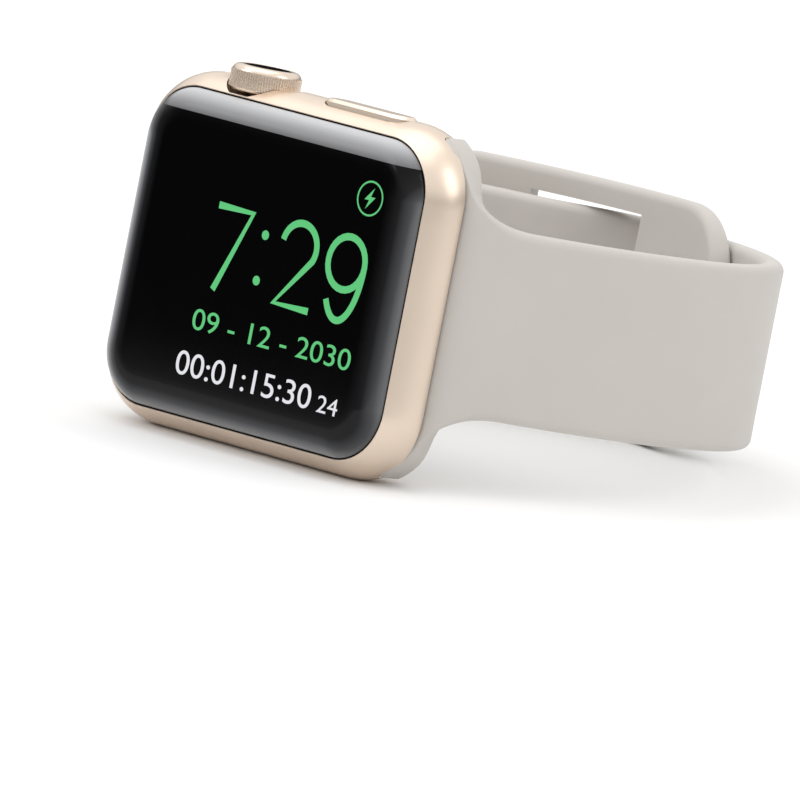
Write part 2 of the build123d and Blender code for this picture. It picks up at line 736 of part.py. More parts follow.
def microphone():
    """The microphone, against the lower wall."""
    z = inner_low()[2]
    return boxed(MICROPHONE, microphone_x() - MICROPHONE[0] / 2, -MICROPHONE[1] / 2, z)


# --- band ---
def lug_plan():
    """Outline of a lug and its flare, in X and Z: the case's corner, then a hollow curve to the strap."""
    inset = LUG_INSET
    corner_radius = CASE_CORNER - inset
    corner = (HALF_LENGTH - CASE_CORNER, HALF_WIDTH - CASE_CORNER)
    hollow_z = STRAP_WIDTH / 2 + FLARE_RADIUS
    reach = math.sqrt((corner_radius + FLARE_RADIUS) ** 2 - (hollow_z - corner[1]) ** 2)
    hollow = (corner[0] + reach, hollow_z)
    end = HALF_LENGTH + BAND_OVERHANG + STRAP_THICKNESS
    plan = case_outline(inset) + Pos(end / 2, 0) * Rectangle(end, STRAP_WIDTH)
    for sign in (1, -1):
        points = [(corner[0], sign * corner[1]), (hollow[0], sign * hollow[1]), (hollow[0], 0), (corner[0], 0)]
        web = make_face(Polyline(*points, close=True))
        plan += web - Pos(hollow[0], sign * hollow[1]) * Circle(FLARE_RADIUS)
    return plan


def strap_blank(points, side, plan):
    """A strap with its lug, trimmed to its width, its flare at the case and any wider plan behind."""
    channel = channel_profile(LUG_CLEARANCE)
    mouth = Pos(HALF_LENGTH, MOUTH_FRONT + LUG_CLEARANCE - BAND_MIDDLE / 2) * Rectangle(CASE_LENGTH, BAND_MIDDLE)
    flare = across(lug_plan(), CHANNEL_FRONT, BAND_MIDDLE / 2)
    pocket = Pos(RELEASE_X, 0) * Rot(0, 0, 90) * SlotOverall(RELEASE_LENGTH, RELEASE_WIDTH)
    pocket = across(pocket, LUG_BACK - CATCH_POCKET, LUG_BACK + PAST)
    wall = Pos(HALF_LENGTH - SIDE_RADIUS, 0) * Circle(SIDE_RADIUS + LUG_CLEARANCE)
    wall -= Pos(HALF_LENGTH, 0) * Rectangle(CASE_LENGTH, 2 * (MOUTH_BACK - LUG_CLEARANCE))
    cuts = (channel, mouth, flare, pocket, wall)
    if side < 0:
        channel, mouth, flare, pocket, wall = (mirror(each, Plane.YZ) for each in cuts)
    profile = ribbon(points, STRAP_THICKNESS) - mouth - wall + channel
    reach = BAND_HALF + STRAP_THICKNESS
    depth = BAND_MIDDLE + BAND_BULGE + STRAP_THICKNESS
    keep = block((-reach, reach), (CHANNEL_FRONT, depth), (-STRAP_WIDTH / 2, STRAP_WIDTH / 2)) + flare
    if plan:
        keep += across(plan, BAND_MIDDLE, depth)
    return (upright(profile, -HALF_WIDTH, HALF_WIDTH) & keep) - pocket


def end_trim(points, width, corner):
    """What to cut from a strap to round its end, in plan."""
    plane = station_plane(points, path_length(points))
    size = 2 * corner
    square = Pos(-corner / 2 + LAYER_GAP, 0) * Rectangle(corner + 2 * LAYER_GAP, width + size)
    keep = Pos(-width, 0) * RectangleRounded(2 * width, width, corner)
    return extrude(plane * (square - keep), amount=LAYER_STEP, both=True)


def band_holes_strap():
    """The strap with the holes: outside the tip of the pin strap, in through the slot, along the wrist."""
    points = holes_path()
    strap = strap_blank(points, 1, None) - end_trim(points, STRAP_WIDTH, TAIL_CORNER)
    pin = distance_to_x(points, pin_plane().offset(LAYER_STEP).origin.X)
    for i in range(-HOLES_BEFORE_PIN, HOLES_AFTER_PIN + 1):
        plane = station_plane(points, pin + i * PITCH)
        strap -= extrude(plane * Circle(HOLE_RADIUS), amount=STRAP_THICKNESS, both=True)
    return strap


def closure_plan():
    """Outline of the widened end of the pin strap, in X and Z."""
    tip = PIN_X + PIN_TIP + STRAP_THICKNESS
    half = CLOSURE_WIDTH / 2
    narrow = STRAP_WIDTH / 2
    shoulder = tip - CLOSURE_LENGTH
    foot = shoulder - SHOULDER_RUN
    side = [(tip, half), (shoulder, half), (foot, narrow), (foot - SHOULDER_RUN, narrow)]
    outline = make_face(Polyline(*side, *[(x, -z) for x, z in reversed(side)], close=True))
    bends = outline.vertices().filter_by(lambda v: v.X in (shoulder, foot))
    return fillet(bends, SHOULDER_RADIUS)


def band_pin_strap():
    """The strap with the pin: its end is wide, with a slot for the tail."""
    points = pin_path()
    strap = strap_blank(points, -1, closure_plan()) - end_trim(points, CLOSURE_WIDTH, CLOSURE_CORNER)
    back = bent_side(BAND_BULGE - LAYER_STEP)[1]
    slot = arc_points(back, 90 + SLOT_START, 90 + SLOT_START + SLOT_SWEEP)
    half = STRAP_WIDTH / 2 + SLOT_SIDE_GAP
    strap -= upright(ribbon(slot, STRAP_THICKNESS * 2), -half, half)
    strap -= extrude(pin_plane() * Circle(PIN_SHANK), amount=STRAP_THICKNESS, both=True)
    return strap - extrude(pin_seat() * Circle(PIN_BASE_RADIUS), amount=-PIN_BASE)


def pin_plane():
    """The plane on the middle of the pin strap at the pin, z out of the wrist."""
    points = list(reversed(pin_path()))
    return station_plane(points, distance_to_x(points, PIN_X))


def pin_seat():
    """The plane of the pin strap's wrist side, z towards the wrist, for the pin's base."""
    plane = pin_plane()
    return Plane(origin=plane.origin - plane.z_dir * STRAP_THICKNESS / 2, x_dir=plane.x_dir, z_dir=-plane.z_dir)


def closure_pin():
    """The metal pin: its shank passes through both straps and its head holds the outer one."""
    plane = pin_plane()
    seat = -STRAP_THICKNESS / 2 + PIN_BASE
    top = STRAP_THICKNESS / 2 + LAYER_STEP + PIN_HEAD_GAP
    shank = extrude(plane.offset(seat) * Circle(PIN_SHANK), amount=top - seat)
    head = extrude(plane.offset(top) * Circle(PIN_HEAD_RADIUS), amount=PIN_HEAD)
    rim = head.edges().filter_by(GeomType.CIRCLE).sort_by(Axis(plane.origin, plane.z_dir))[-1]
    return shank + fillet(rim, PIN_HEAD / 2)


def closure_pin_base():
    """The disc let into the wrist side of the pin strap."""
    return extrude(pin_seat() * Circle(PIN_BASE_RADIUS), amount=-PIN_BASE)


# --- band release ---
def release_button():
    """The button on the back that frees one strap."""
    outline = Pos(RELEASE_X, 0) * Rot(0, 0, 90) * SlotOverall(RELEASE_LENGTH, RELEASE_WIDTH)
    return across(outline, CHANNEL_BACK, CASE_BACK + RELEASE_PROUD)


def lug_catch():
    """The sprung catch in the lug, under the button."""
    outline = Pos(RELEASE_X, 0) * Rot(0, 0, 90)
    outline *= SlotOverall(RELEASE_LENGTH - 2 * RELEASE_GAP, RELEASE_WIDTH - 2 * RELEASE_GAP)
    return across(outline, LUG_BACK - CATCH_HEIGHT, LUG_BACK)


def lug_spring():
    """The leaf spring under the catch, bowed along the lug."""
    half = RELEASE_LENGTH / 2 - RELEASE_WIDTH / 2
    low = LUG_BACK - CATCH_POCKET + RELEASE_GAP
    high = LUG_BACK - CATCH_HEIGHT - RELEASE_GAP - LEAF_THICKNESS
    ends = (min(low + LEAF_SAG, high), low)
    upper = ThreePointArc((ends[0], -half), (high, 0), (ends[0], half))
    lower = ThreePointArc((ends[0] + LEAF_THICKNESS, -half), (high + LEAF_THICKNESS, 0),
                          (ends[0] + LEAF_THICKNESS, half))
    sides = [Line(upper @ 0, lower @ 0), Line(upper @ 1, lower @ 1)]
    leaf = make_face(Curve() + [upper, lower] + sides)
    return extrude(Plane.YZ.offset(RELEASE_X - LEAF_WIDTH / 2) * leaf, amount=LEAF_WIDTH)


# --- rest pose ---
def lean_angle():
    """How far the watch leans back, in degrees, to stand on the case's side and the band's edge."""
    drop = CLOSURE_WIDTH / 2 - (HALF_WIDTH - SIDE_RADIUS)
    reach = BAND_MIDDLE + BAND_BULGE - LAYER_STEP + STRAP_THICKNESS / 2
    return math.degrees(math.asin(SIDE_RADIUS / math.hypot(reach, drop)) - math.atan2(drop, reach))


def watch():
    """Every piece by its name, in the watch frame."""
    crown_bracket, button_bracket = (bracket_at(*values) for values in brackets())
    return {
        "case_housing": case_housing(),
        "cover_glass": cover_glass(),
        "display_gasket": display_gasket(),
        "display_panel": display_panel(),
        "crown_knob": crown_knob(),
        "crown_cap": crown_cap(),
        "crown_shaft": crown_shaft(),
        "crown_seal_ring": crown_seal_ring(),
        "crown_bushing": crown_bushing(),
        "crown_encoder_disc": crown_encoder_disc(),
        "crown_shear_plate": crown_shear_plate(),
        "crown_switch": switch_at(CROWN_X, CROWN_Y, CROWN_TIP_TOP),
        "crown_bracket": crown_bracket,
        "side_button_cap": side_button_cap(),
        "side_button_stems": side_button_stems(),
        "side_button_switch": switch_at(BUTTON_X, BUTTON_Y, BUTTON_TIP_TOP),
        "side_button_bracket": button_bracket,
        "bracket_screws": bracket_screws(),
        "battery": battery(),
        "logic_board": logic_board(),
        "haptic_motor": haptic_motor(),
        "speaker": speaker(),
        "microphone": microphone(),
        "back_cover": back_cover(),
        "back_gasket": back_gasket(),
        "sensor_window": sensor_window(),
        "sensor_optics": sensor_optics(),
        "charging_coil": charging_coil(),
        "charging_magnet": charging_magnet(),
        "band_holes_strap": band_holes_strap(),
        "band_pin_strap": band_pin_strap(),
        "closure_pin": closure_pin(),
        "closure_pin_base": closure_pin_base(),
        "holes_release_button": release_button(),
        "pin_release_button": mirrored(release_button()),
        "holes_lug_catch": lug_catch(),
        "pin_lug_catch": mirrored(lug_catch()),
        "holes_lug_spring": lug_spring(),
        "pin_lug_spring": mirrored(lug_spring()),
    }


def main():
    """Leans the watch back, stands it on the floor and writes one STEP file for each piece."""
    os.makedirs("parts", exist_ok=True)
    leaned = {name: Rot(-lean_angle(), 0, 0) * shape for name, shape in watch().items()}
    box = Compound(children=[shape.moved(Location()) for shape in leaned.values()]).bounding_box()
    rest = Pos(-box.center().X, -box.center().Y, -box.min.Z)
    for name, shape in leaned.items():
        export_step(rest * shape, "parts/" + name + ".step")
    print("lean", round(lean_angle(), 4), "origin", rest.position, "size", box.size)


main()
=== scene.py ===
import json
import math

import bmesh
import bpy
from bpy.props import FloatProperty, FloatVectorProperty, IntProperty, PointerProperty, StringProperty
from mathutils import Matrix, Vector


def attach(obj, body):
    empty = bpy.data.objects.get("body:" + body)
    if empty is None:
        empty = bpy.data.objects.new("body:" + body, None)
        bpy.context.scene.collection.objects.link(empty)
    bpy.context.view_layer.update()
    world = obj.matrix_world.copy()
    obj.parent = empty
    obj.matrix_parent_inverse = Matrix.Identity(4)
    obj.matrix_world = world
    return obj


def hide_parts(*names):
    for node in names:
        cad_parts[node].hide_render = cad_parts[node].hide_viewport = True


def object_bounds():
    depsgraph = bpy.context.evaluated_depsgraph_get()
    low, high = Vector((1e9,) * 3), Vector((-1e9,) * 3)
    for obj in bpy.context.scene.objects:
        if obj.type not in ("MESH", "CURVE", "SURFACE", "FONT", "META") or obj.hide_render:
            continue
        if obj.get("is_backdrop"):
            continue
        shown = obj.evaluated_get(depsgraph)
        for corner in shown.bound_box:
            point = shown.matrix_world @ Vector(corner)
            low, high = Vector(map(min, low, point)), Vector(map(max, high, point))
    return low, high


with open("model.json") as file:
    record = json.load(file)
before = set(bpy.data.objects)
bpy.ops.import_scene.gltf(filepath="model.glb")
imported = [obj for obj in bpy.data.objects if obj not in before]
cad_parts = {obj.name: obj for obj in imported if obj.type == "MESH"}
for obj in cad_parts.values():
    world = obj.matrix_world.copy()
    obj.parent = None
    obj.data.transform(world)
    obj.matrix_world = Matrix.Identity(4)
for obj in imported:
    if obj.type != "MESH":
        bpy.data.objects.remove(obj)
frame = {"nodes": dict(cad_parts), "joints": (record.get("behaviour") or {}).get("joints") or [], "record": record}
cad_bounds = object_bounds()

bl_info = {
    "name": "Square smartwatch",
    "version": (1, 0, 0),
    "blender": (4, 5, 0),
    "location": "View3D > Sidebar > Smartwatch",
    "description": "Builds the visible pieces of a square smartwatch round its CAD frame",
    "category": "Object",
}

MM = 0.001
TAU = math.tau
SHARP = math.radians(32)
UP = Vector((0, 0, 1))
CORNER_STEPS = 14
SIDE_STEPS = 10
CAVITY = (31.2 * MM, 30.4 * MM, 0.9 * MM)
CATCH_ROOM = (5.7 * MM, 1.5 * MM)
CHANNEL_MIDDLE = 1.65 * MM
SIGN_X, SIGN_Z = 12.6, 9.9


def linear(red, green, blue):
    """A colour given in display values of 0 to 255, as linear light."""
    values = [channel / 255 for channel in (red, green, blue)]
    return tuple(v / 12.92 if v <= 0.04045 else ((v + 0.055) / 1.055) ** 2.4 for v in values)


def size(name, millimetres, description):
    """A length property whose default is given in millimetres."""
    return FloatProperty(name=name, description=description, default=millimetres * MM, unit="LENGTH",
                         precision=5)


def turn(name, degrees, description):
    """An angle property whose default is given in degrees."""
    return FloatProperty(name=name, description=description, default=math.radians(degrees), subtype="ANGLE")


def tint(name, colour, description):
    """A colour property."""
    return FloatVectorProperty(name=name, description=description, default=colour, size=3, subtype="COLOR",
                               min=0.0, max=1.0)


# --- settings that a user would change ---
class CaseSettings(bpy.types.PropertyGroup):
    """Sizes and finish of the case and its glass."""
    length: size("Length", 42.0, "Case length along the band")
    width: size("Width", 35.9, "Case width, crown side to opposite side")
    corner: size("Corner radius", 7.5, "Corner radius of the widest outline")
    side_radius: size("Side radius", 5.2, "Radius of the barrelled side in section")
    front: size("Front", -3.8, "Depth of the case's front lip")
    back: size("Back", 4.2, "Depth of the case's back face")
    rim: size("Rim", 1.9, "From the widest outline in to the glass")
    seam: size("Seam", 0.15, "Gap between the glass and the case")
    glass_front: size("Glass front", -5.5, "Depth of the glass's flat face")
    glass_edge: size("Glass edge radius", 2.4, "Radius of the glass's curved edge")
    metal: tint("Metal", linear(224, 207, 190), "Colour of the anodised metal")


class CrownSettings(bpy.types.PropertyGroup):
    """Sizes of the crown and the side button."""
    radius: size("Radius", 3.6, "Radius over the knurl")
    height: size("Height", 2.7, "Height of the knob")
    top_round: size("Top round", 0.8, "Rounding of the knob's top edge")
    base_round: size("Base round", 0.45, "Rounding of the knob's lower edge")
    cap_radius: size("Cap radius", 2.46, "Radius of the dark end cap")
    ridges: IntProperty(name="Ridges", description="Number of ridges round the knob", default=84, min=12)
    ridge: size("Ridge radius", 0.1, "Radius of one ridge")
    button_length: size("Button length", 11.35, "Length of the side button")
    button_width: size("Button width", 3.4, "Width of the side button")


class BandSettings(bpy.types.PropertyGroup):
    """Sizes and finish of the two straps."""
    width: size("Width", 18.9, "Width of a strap")
    thickness: size("Thickness", 2.4, "Thickness of a strap")
    mouth: size("Mouth thickness", 2.74, "Thickness where it leaves the case")
    overhang: size("Overhang", 10.3, "How far its middle stands out past the case")
    middle: size("Middle", 25.0, "Depth of the widest point of the loop")
    bulge: size("Bulge", 28.0, "From the widest point back to the outer layer")
    flatten: FloatProperty(name="Flatten", description="1 makes the back a plain arc", default=1.08)
    flare: size("Flare radius", 4.8, "Radius of the hollow curve at the lug")
    edge: size("Edge radius", 0.95, "Rounding of a strap's long edges")
    layer_gap: size("Layer gap", 0.2, "Gap between two layers of the closed band")
    hole: size("Hole radius", 1.75, "Radius of an adjustment hole")
    pitch: size("Hole pitch", 5.0, "From hole to hole")
    elastomer: tint("Elastomer", linear(189, 184, 178), "Colour of the straps")


class DisplaySettings(bpy.types.PropertyGroup):
    """What the display shows."""
    date: StringProperty(name="Date", description="Numbers of the date line", default="09 - 12 - 2030")
    timer: StringProperty(name="Timer", description="Numbers of the timer line", default="00:01:15:30")
    suffix: StringProperty(name="Suffix", description="Small number after the timer", default="24")
    accent: tint("Accent", linear(84, 196, 116), "Colour of the time and the date")
    plain: tint("Plain", linear(226, 226, 232), "Colour of the timer line")
    stroke: size("Stroke", 0.76, "Width of the numerals' strokes")
    shift: size("Shift", 1.0, "How far the picture sits towards six o'clock")


class StageSettings(bpy.types.PropertyGroup):
    """The camera and the light."""
    azimuth: turn("Azimuth", 42.85, "Camera direction round the watch from its display")
    elevation: turn("Elevation", 4.66, "Camera height above the watch's middle plane")
    roll: turn("Roll", 11.06, "Camera roll")
    span: size("Span", 79.26, "Width of what the camera sees at the watch")
    target: FloatVectorProperty(name="Target", description="What the camera looks at, from the case's middle",
                                default=(11.974 * MM, 6.108 * MM, -9.868 * MM), size=3, subtype="TRANSLATION")
    lens: FloatProperty(name="Lens", description="Focal length", default=1000.0, unit="CAMERA")
    floor: tint("Floor", (0.86, 0.86, 0.86), "Colour of the floor")


GROUPS = {"watch_case": CaseSettings, "watch_crown": CrownSettings, "watch_band": BandSettings,
          "watch_display": DisplaySettings, "watch_stage": StageSettings}


# --- the watch's own frame inside the row frame ---
def named(items, name):
    """The item of a list that has a name."""
    return next(item for item in items if item["name"] == name)


def watch_matrix():
    """From the watch's frame (X to six o'clock, Y away from the display, Z to the crown) to the row's."""
    face = named(frame["record"]["mounts"], "display_face")
    back = -Vector(face["axis"])
    up = Vector(named(frame["joints"], "crown_spin")["axis"])
    origin = Vector(face["pos_m"]) - back * bpy.context.scene.watch_case.glass_front
    return Matrix.Translation(origin) @ Matrix((back.cross(up), back, up)).transposed().to_4x4()


def settings(context):
    """The five groups of settings, in the order of GROUPS."""
    return tuple(getattr(context.scene, name) for name in GROUPS)


def crown_top():
    """The middle of the crown's outer end in the watch's frame."""
    return watch_matrix().inverted() @ Vector(named(frame["joints"], "crown_spin")["pos_m"])


def node_box(node):
    """(lowest, highest) corner of a CAD node in the watch's frame."""
    from_row = watch_matrix().inverted()
    corners = [from_row @ v.co for v in frame["nodes"][node].data.vertices]
    return tuple(Vector([pick(c[i] for c in corners) for i in range(3)]) for pick in (min, max))


def node_x(node):
    """Middle of a CAD node along X."""
    low, high = node_box(node)
    return (low.x + high.x) / 2


# --- mesh building ---
def skin(rings, closed=False):
    """A mesh over rings of the same number of points, capped at both ends or closed on itself."""
    bm = bmesh.new()
    loops = [[bm.verts.new(point) for point in ring] for ring in rings]
    pairs = list(zip(loops, loops[1:]))
    if closed:
        pairs.append((loops[-1], loops[0]))
    for lower, upper in pairs:
        count = len(lower)
        for i in range(count):
            j = (i + 1) % count
            bm.faces.new((lower[i], lower[j], upper[j], upper[i]))
    if not closed:
        bm.faces.new(loops[0])
        bm.faces.new(reversed(loops[-1]))
    return to_mesh(bm)


def to_mesh(bm):
    """The finished mesh of a bmesh, its faces pointing outwards."""
    bmesh.ops.recalc_face_normals(bm, faces=bm.faces)
    mesh = bpy.data.meshes.new("shape")
    bm.to_mesh(mesh)
    bm.free()
    return mesh


def merged(*meshes):
    """Several meshes as one."""
    bm = bmesh.new()
    for mesh in meshes:
        bm.from_mesh(mesh)
    joined = bpy.data.meshes.new("shape")
    bm.to_mesh(joined)
    bm.free()
    return joined


def linked(obj):
    """The object, now in the scene."""
    bpy.context.scene.collection.objects.link(obj)
    return obj


def evaluated(obj):
    """A plain mesh of a new object with its modifiers applied; the object is then removed."""
    linked(obj)
    graph = bpy.context.evaluated_depsgraph_get()
    mesh = bpy.data.meshes.new_from_object(obj.evaluated_get(graph), depsgraph=graph)
    bpy.data.objects.remove(obj)
    return mesh


def carved(mesh, other, operation="DIFFERENCE"):
    """A mesh cut by, joined to or limited to another."""
    tool = linked(bpy.data.objects.new("tool", other))
    work = bpy.data.objects.new("work", mesh)
    modifier = work.modifiers.new("carve", "BOOLEAN")
    modifier.operation = operation
    modifier.solver = "EXACT"
    modifier.object = tool
    result = evaluated(work)
    bpy.data.objects.remove(tool)
    return result


def piece(name, mesh, body, finish, replaces=(), sharp=SHARP):
    """Turns a mesh in the watch's frame into a finished piece that rides on its body."""
    mesh.transform(watch_matrix())
    mesh.name = name
    mesh.materials.clear()
    mesh.materials.append(finish)
    mesh.shade_smooth()
    mesh.set_sharp_from_angle(angle=sharp)
    obj = linked(bpy.data.objects.new(name, mesh))
    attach(obj, body)
    if replaces:
        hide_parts(*replaces)
    return obj


def rounded_ring(length, width, corner, depth):
    """A rounded rectangle in X and Z at a depth, always with the same number of points."""
    half_x = length / 2 - corner
    half_z = width / 2 - corner
    corners = ((half_x, half_z, 0), (-half_x, half_z, 1), (-half_x, -half_z, 2), (half_x, -half_z, 3))
    points = []
    for index, (x, z, quarter) in enumerate(corners):
        for step in range(CORNER_STEPS + 1):
            angle = TAU / 4 * (quarter + step / CORNER_STEPS)
            points.append(Vector((x + corner * math.cos(angle), depth, z + corner * math.sin(angle))))
        following = corners[(index + 1) % 4]
        angle = TAU / 4 * (quarter + 1)
        start = points[-1]
        end = Vector((following[0] + corner * math.cos(angle), depth,
                      following[1] + corner * math.sin(angle)))
        points += [start.lerp(end, i / SIDE_STEPS) for i in range(1, SIDE_STEPS)]
    return points


def outline_ring(case, inset, depth):
    """The case's widest outline drawn in by an inset, at a depth."""
    corner = max(case.corner - inset, 0.4 * MM)
    return rounded_ring(case.length - 2 * inset, case.width - 2 * inset, corner, depth)


def stadium_ring(centre, length, width, height, steps=16):
    """A slot outline in X and Y at a height, long along X."""
    radius = width / 2
    reach = length / 2 - radius
    points = []
    for side, start in ((1, -TAU / 4), (-1, TAU / 4)):
        for step in range(steps + 1):
            angle = start + TAU / 2 * step / steps
            points.append(Vector((centre[0] + side * reach + radius * math.cos(angle),
                                  centre[1] + radius * math.sin(angle), height)))
    return points


def turned(profile, origin, axis=UP, steps=96):
    """A turned shape: profile is (radius, height) pairs along the axis."""
    spin = UP.rotation_difference(Vector(axis)).to_matrix()
    rings = []
    for radius, height in profile:
        ring = [Vector((radius * math.cos(TAU * i / steps), radius * math.sin(TAU * i / steps), height))
                for i in range(steps)]
        rings.append([Vector(origin) + spin @ point for point in ring])
    return skin(rings)


def quarter_round(radius, steps):
    """(run, rise) pairs of a quarter circle, from its side (0, 0) to its top (radius, radius)."""
    return [(radius * (1 - math.cos(TAU / 4 * i / steps)), radius * math.sin(TAU / 4 * i / steps))
            for i in range(steps + 1)]


def prism(outline, low, high):
    """A prism along Z over an outline in X and Y."""
    return skin([[Vector((x, y, z)) for x, y in outline] for z in (low, high)])


# --- shader building ---
class Value:
    """A number from a node's output, so that shader maths reads as arithmetic."""

    def __init__(self, finish, socket):
        self.finish = finish
        self.socket = socket

    def maths(self, operation, first, second):
        node = self.finish.node("ShaderNodeMath", {"operation": operation}, {0: first, 1: second})
        return Value(self.finish, node.outputs[0])

    def __add__(self, other):
        return self.maths("ADD", self, other)

    def __sub__(self, other):
        return self.maths("SUBTRACT", self, other)

    def __rsub__(self, other):
        return self.maths("SUBTRACT", other, self)

    def __mul__(self, other):
        return self.maths("MULTIPLY", self, other)

    def __gt__(self, other):
        return self.maths("GREATER_THAN", self, other)

    __radd__ = __add__
    __rmul__ = __mul__


class Finish:
    """A material whose nodes are added one by one."""

    def __init__(self, name, **constants):
        self.material = bpy.data.materials.new(name)
        self.material.use_nodes = True
        self.tree = self.material.node_tree
        self.surface = self.tree.nodes["Principled BSDF"]
        for socket, value in constants.items():
            self.set(socket.replace("_", " "), value)

    def set(self, socket, value):
        """Gives one of the surface's sockets a number, a colour or a link."""
        self.feed(self.surface.inputs[socket], value)

    def feed(self, socket, value):
        """A constant goes on the socket itself, and a node's output is linked."""
        if isinstance(value, Value):
            self.tree.links.new(value.socket, socket)
        elif isinstance(value, bpy.types.NodeSocket):
            self.tree.links.new(value, socket)
        elif socket.type == "RGBA" and len(value) == 3:
            socket.default_value = (*value, 1.0)
        else:
            socket.default_value = value

    def node(self, kind, options=None, sockets=None):
        """Any node, from its type, its settings and what its sockets get."""
        node = self.tree.nodes.new(kind)
        for name, value in (options or {}).items():
            if name == "stops":
                while len(node.color_ramp.elements) < len(value):
                    node.color_ramp.elements.new(1.0)
                for stop, (position, colour) in zip(node.color_ramp.elements, value):
                    stop.position = position
                    stop.color = (*colour, 1.0)
            else:
                setattr(node, name, value)
        for name, value in (sockets or {}).items():
            self.feed(node.inputs[name], value)
        return node

    def place(self):
        """Object coordinates."""
        return self.node("ShaderNodeTexCoord").outputs["Object"]

    def noise(self, grain, detail, stretch=(1, 1, 1)):
        """Noise whose grain is about the given size."""
        mapped = self.node("ShaderNodeMapping", None, {"Vector": self.place(), "Scale": stretch})
        node = self.node("ShaderNodeTexNoise", None, {
            "Vector": mapped.outputs[0], "Scale": 1 / grain, "Detail": detail, "Roughness": 0.6})
        return Value(self, node.outputs["Fac"])

    def blend(self, factor, first, second):
        """A colour between two."""
        node = self.node("ShaderNodeMix", {"data_type": "RGBA"}, {0: factor, 6: first, 7: second})
        return node.outputs[2]

    def ramp(self, factor, stops):
        """A colour looked up by a number."""
        return self.node("ShaderNodeValToRGB", {"stops": stops}, {0: factor}).outputs[0]

    def attribute(self, name):
        """A value stored on the mesh."""
        node = self.node("ShaderNodeAttribute", {"attribute_name": name})
        return Value(self, node.outputs["Fac"])

    def bump(self, height, distance, strength):
        """Relief from a height value."""
        node = self.node("ShaderNodeBump", None, {
            "Height": height, "Distance": distance, "Strength": strength})
        self.set("Normal", node.outputs[0])


def shade(colour, factor):
    """A colour made lighter or darker."""
    return tuple(min(1.0, channel * factor) for channel in colour)


def grained(name, dark, light, roughness, vary, grain, detail=3.0, stretch=(1, 1, 1), cloud=0.0, relief=(),
            **constants):
    """A finish whose gloss and relief follow a fine grain, and its colour that grain or a wider cloud."""
    finish = Finish(name, **constants)
    fine = finish.noise(grain * MM, detail, stretch)
    wide = finish.noise(cloud * MM, 3.0) if cloud else fine
    finish.set("Base Color", finish.blend(wide, dark, light))
    finish.set("Roughness", roughness + fine * vary)
    if relief:
        depth, strength = relief
        finish.bump(fine, depth * MM, strength)
    return finish.material


def anodised_metal(name, colour, roughness):
    """Blasted and anodised aluminium: a fine even grain with faint clouding."""
    return grained(name, shade(colour, 0.94), shade(colour, 1.04), roughness - 0.05, 0.1, 0.09, detail=2.0,
                   cloud=9, relief=(0.004, 0.35), Metallic=1.0)


def polished_metal(name, colour):
    """Diamond-cut metal with fine turning lines."""
    return grained(name, shade(colour, 0.92), shade(colour, 1.05), 0.16, 0.12, 0.05, detail=2.0,
                   stretch=(1, 1, 14), Metallic=1.0)


def machined_steel(name, colour=(0.55, 0.55, 0.56)):
    """Brushed or stamped steel."""
    return grained(name, shade(colour, 0.8), shade(colour, 1.15), 0.24, 0.2, 0.12, stretch=(1, 9, 1),
                   relief=(0.003, 0.5), Metallic=1.0)


def soft_elastomer(name, colour):
    """Matt moulded elastomer with a fine skin and a faint mottle."""
    return grained(name, shade(colour, 0.965), shade(colour, 1.03), 0.5, 0.14, 0.16, cloud=7,
                   relief=(0.006, 0.4), Specular_IOR_Level=0.35, Sheen_Weight=0.12, Sheen_Roughness=0.5)


def moulded_plastic(name, colour, roughness=0.4, grain=0.2, gloss=0.5):
    """Moulded plastic or rubber with a spark-eroded texture."""
    return grained(name, shade(colour, 0.85), shade(colour, 1.12), roughness - 0.05, 0.12, grain,
                   relief=(0.01, 0.4), Specular_IOR_Level=gloss)


def gloss_black(name, gloss=0.5):
    """Polished black with a trace of smear in its gloss."""
    finish = Finish(name, Base_Color=(0.006, 0.006, 0.007), Specular_IOR_Level=gloss)
    smear = finish.noise(5 * MM, 4.0)
    finish.set("Roughness", 0.03 + smear * 0.05)
    return finish.material


def glass_painted_reflection(name):
    """Black display glass whose colour carries painted reflection round its curved edge: a soft painted gradient
    over the edge, and along the crown side a bright band that paints the overhead softbox's reflection.
    """
    finish = Finish(name, Specular_IOR_Level=0.12, IOR=1.5)
    band = finish.attribute("band")
    smear = finish.noise(6 * MM, 3.0)
    black = (0.0012, 0.0012, 0.0014)
    # Painted reflection over the curved edge, from black on the flat to grey at the seam.
    soft = finish.ramp(finish.attribute("edge"), [(0.0, black), (0.2, (0.012, 0.012, 0.013)),
                                                  (0.36, (0.06, 0.061, 0.064)), (0.6, (0.22, 0.222, 0.23)),
                                                  (1.0, (0.42, 0.423, 0.435))])
    # Painted reflection of the overhead softbox: a bright band along the crown side.
    bright = finish.ramp(band, [(0.0, (0.15, 0.15, 0.154)), (0.35, (0.25, 0.252, 0.26)),
                                (1.0, (0.54, 0.542, 0.55))])
    # The painted softbox band takes over above its straight boundary and right of the glass's left end.
    finish.set("Base Color", finish.blend((band > 0.0) * finish.attribute("end"), soft, bright))
    finish.set("Roughness", 0.035 + smear * 0.03)
    return finish.material


def lit(name, colour):
    """A lit part of the display, a little uneven from line to line."""
    finish = Finish(name, Base_Color=(0, 0, 0), Roughness=0.3, Emission_Strength=1.0)
    rows = finish.noise(0.1 * MM, 1.0, stretch=(1, 1, 6))
    finish.set("Emission Color", finish.blend(rows, shade(colour, 0.94), shade(colour, 1.03)))
    return finish.material


def dark_window(name):
    """The wrist side's dark polished window."""
    return grained(name, (0.010, 0.010, 0.012), (0.022, 0.022, 0.026), 0.05, 0.05, 4,
                   Specular_IOR_Level=0.5, Coat_Weight=0.5, Coat_Roughness=0.04)


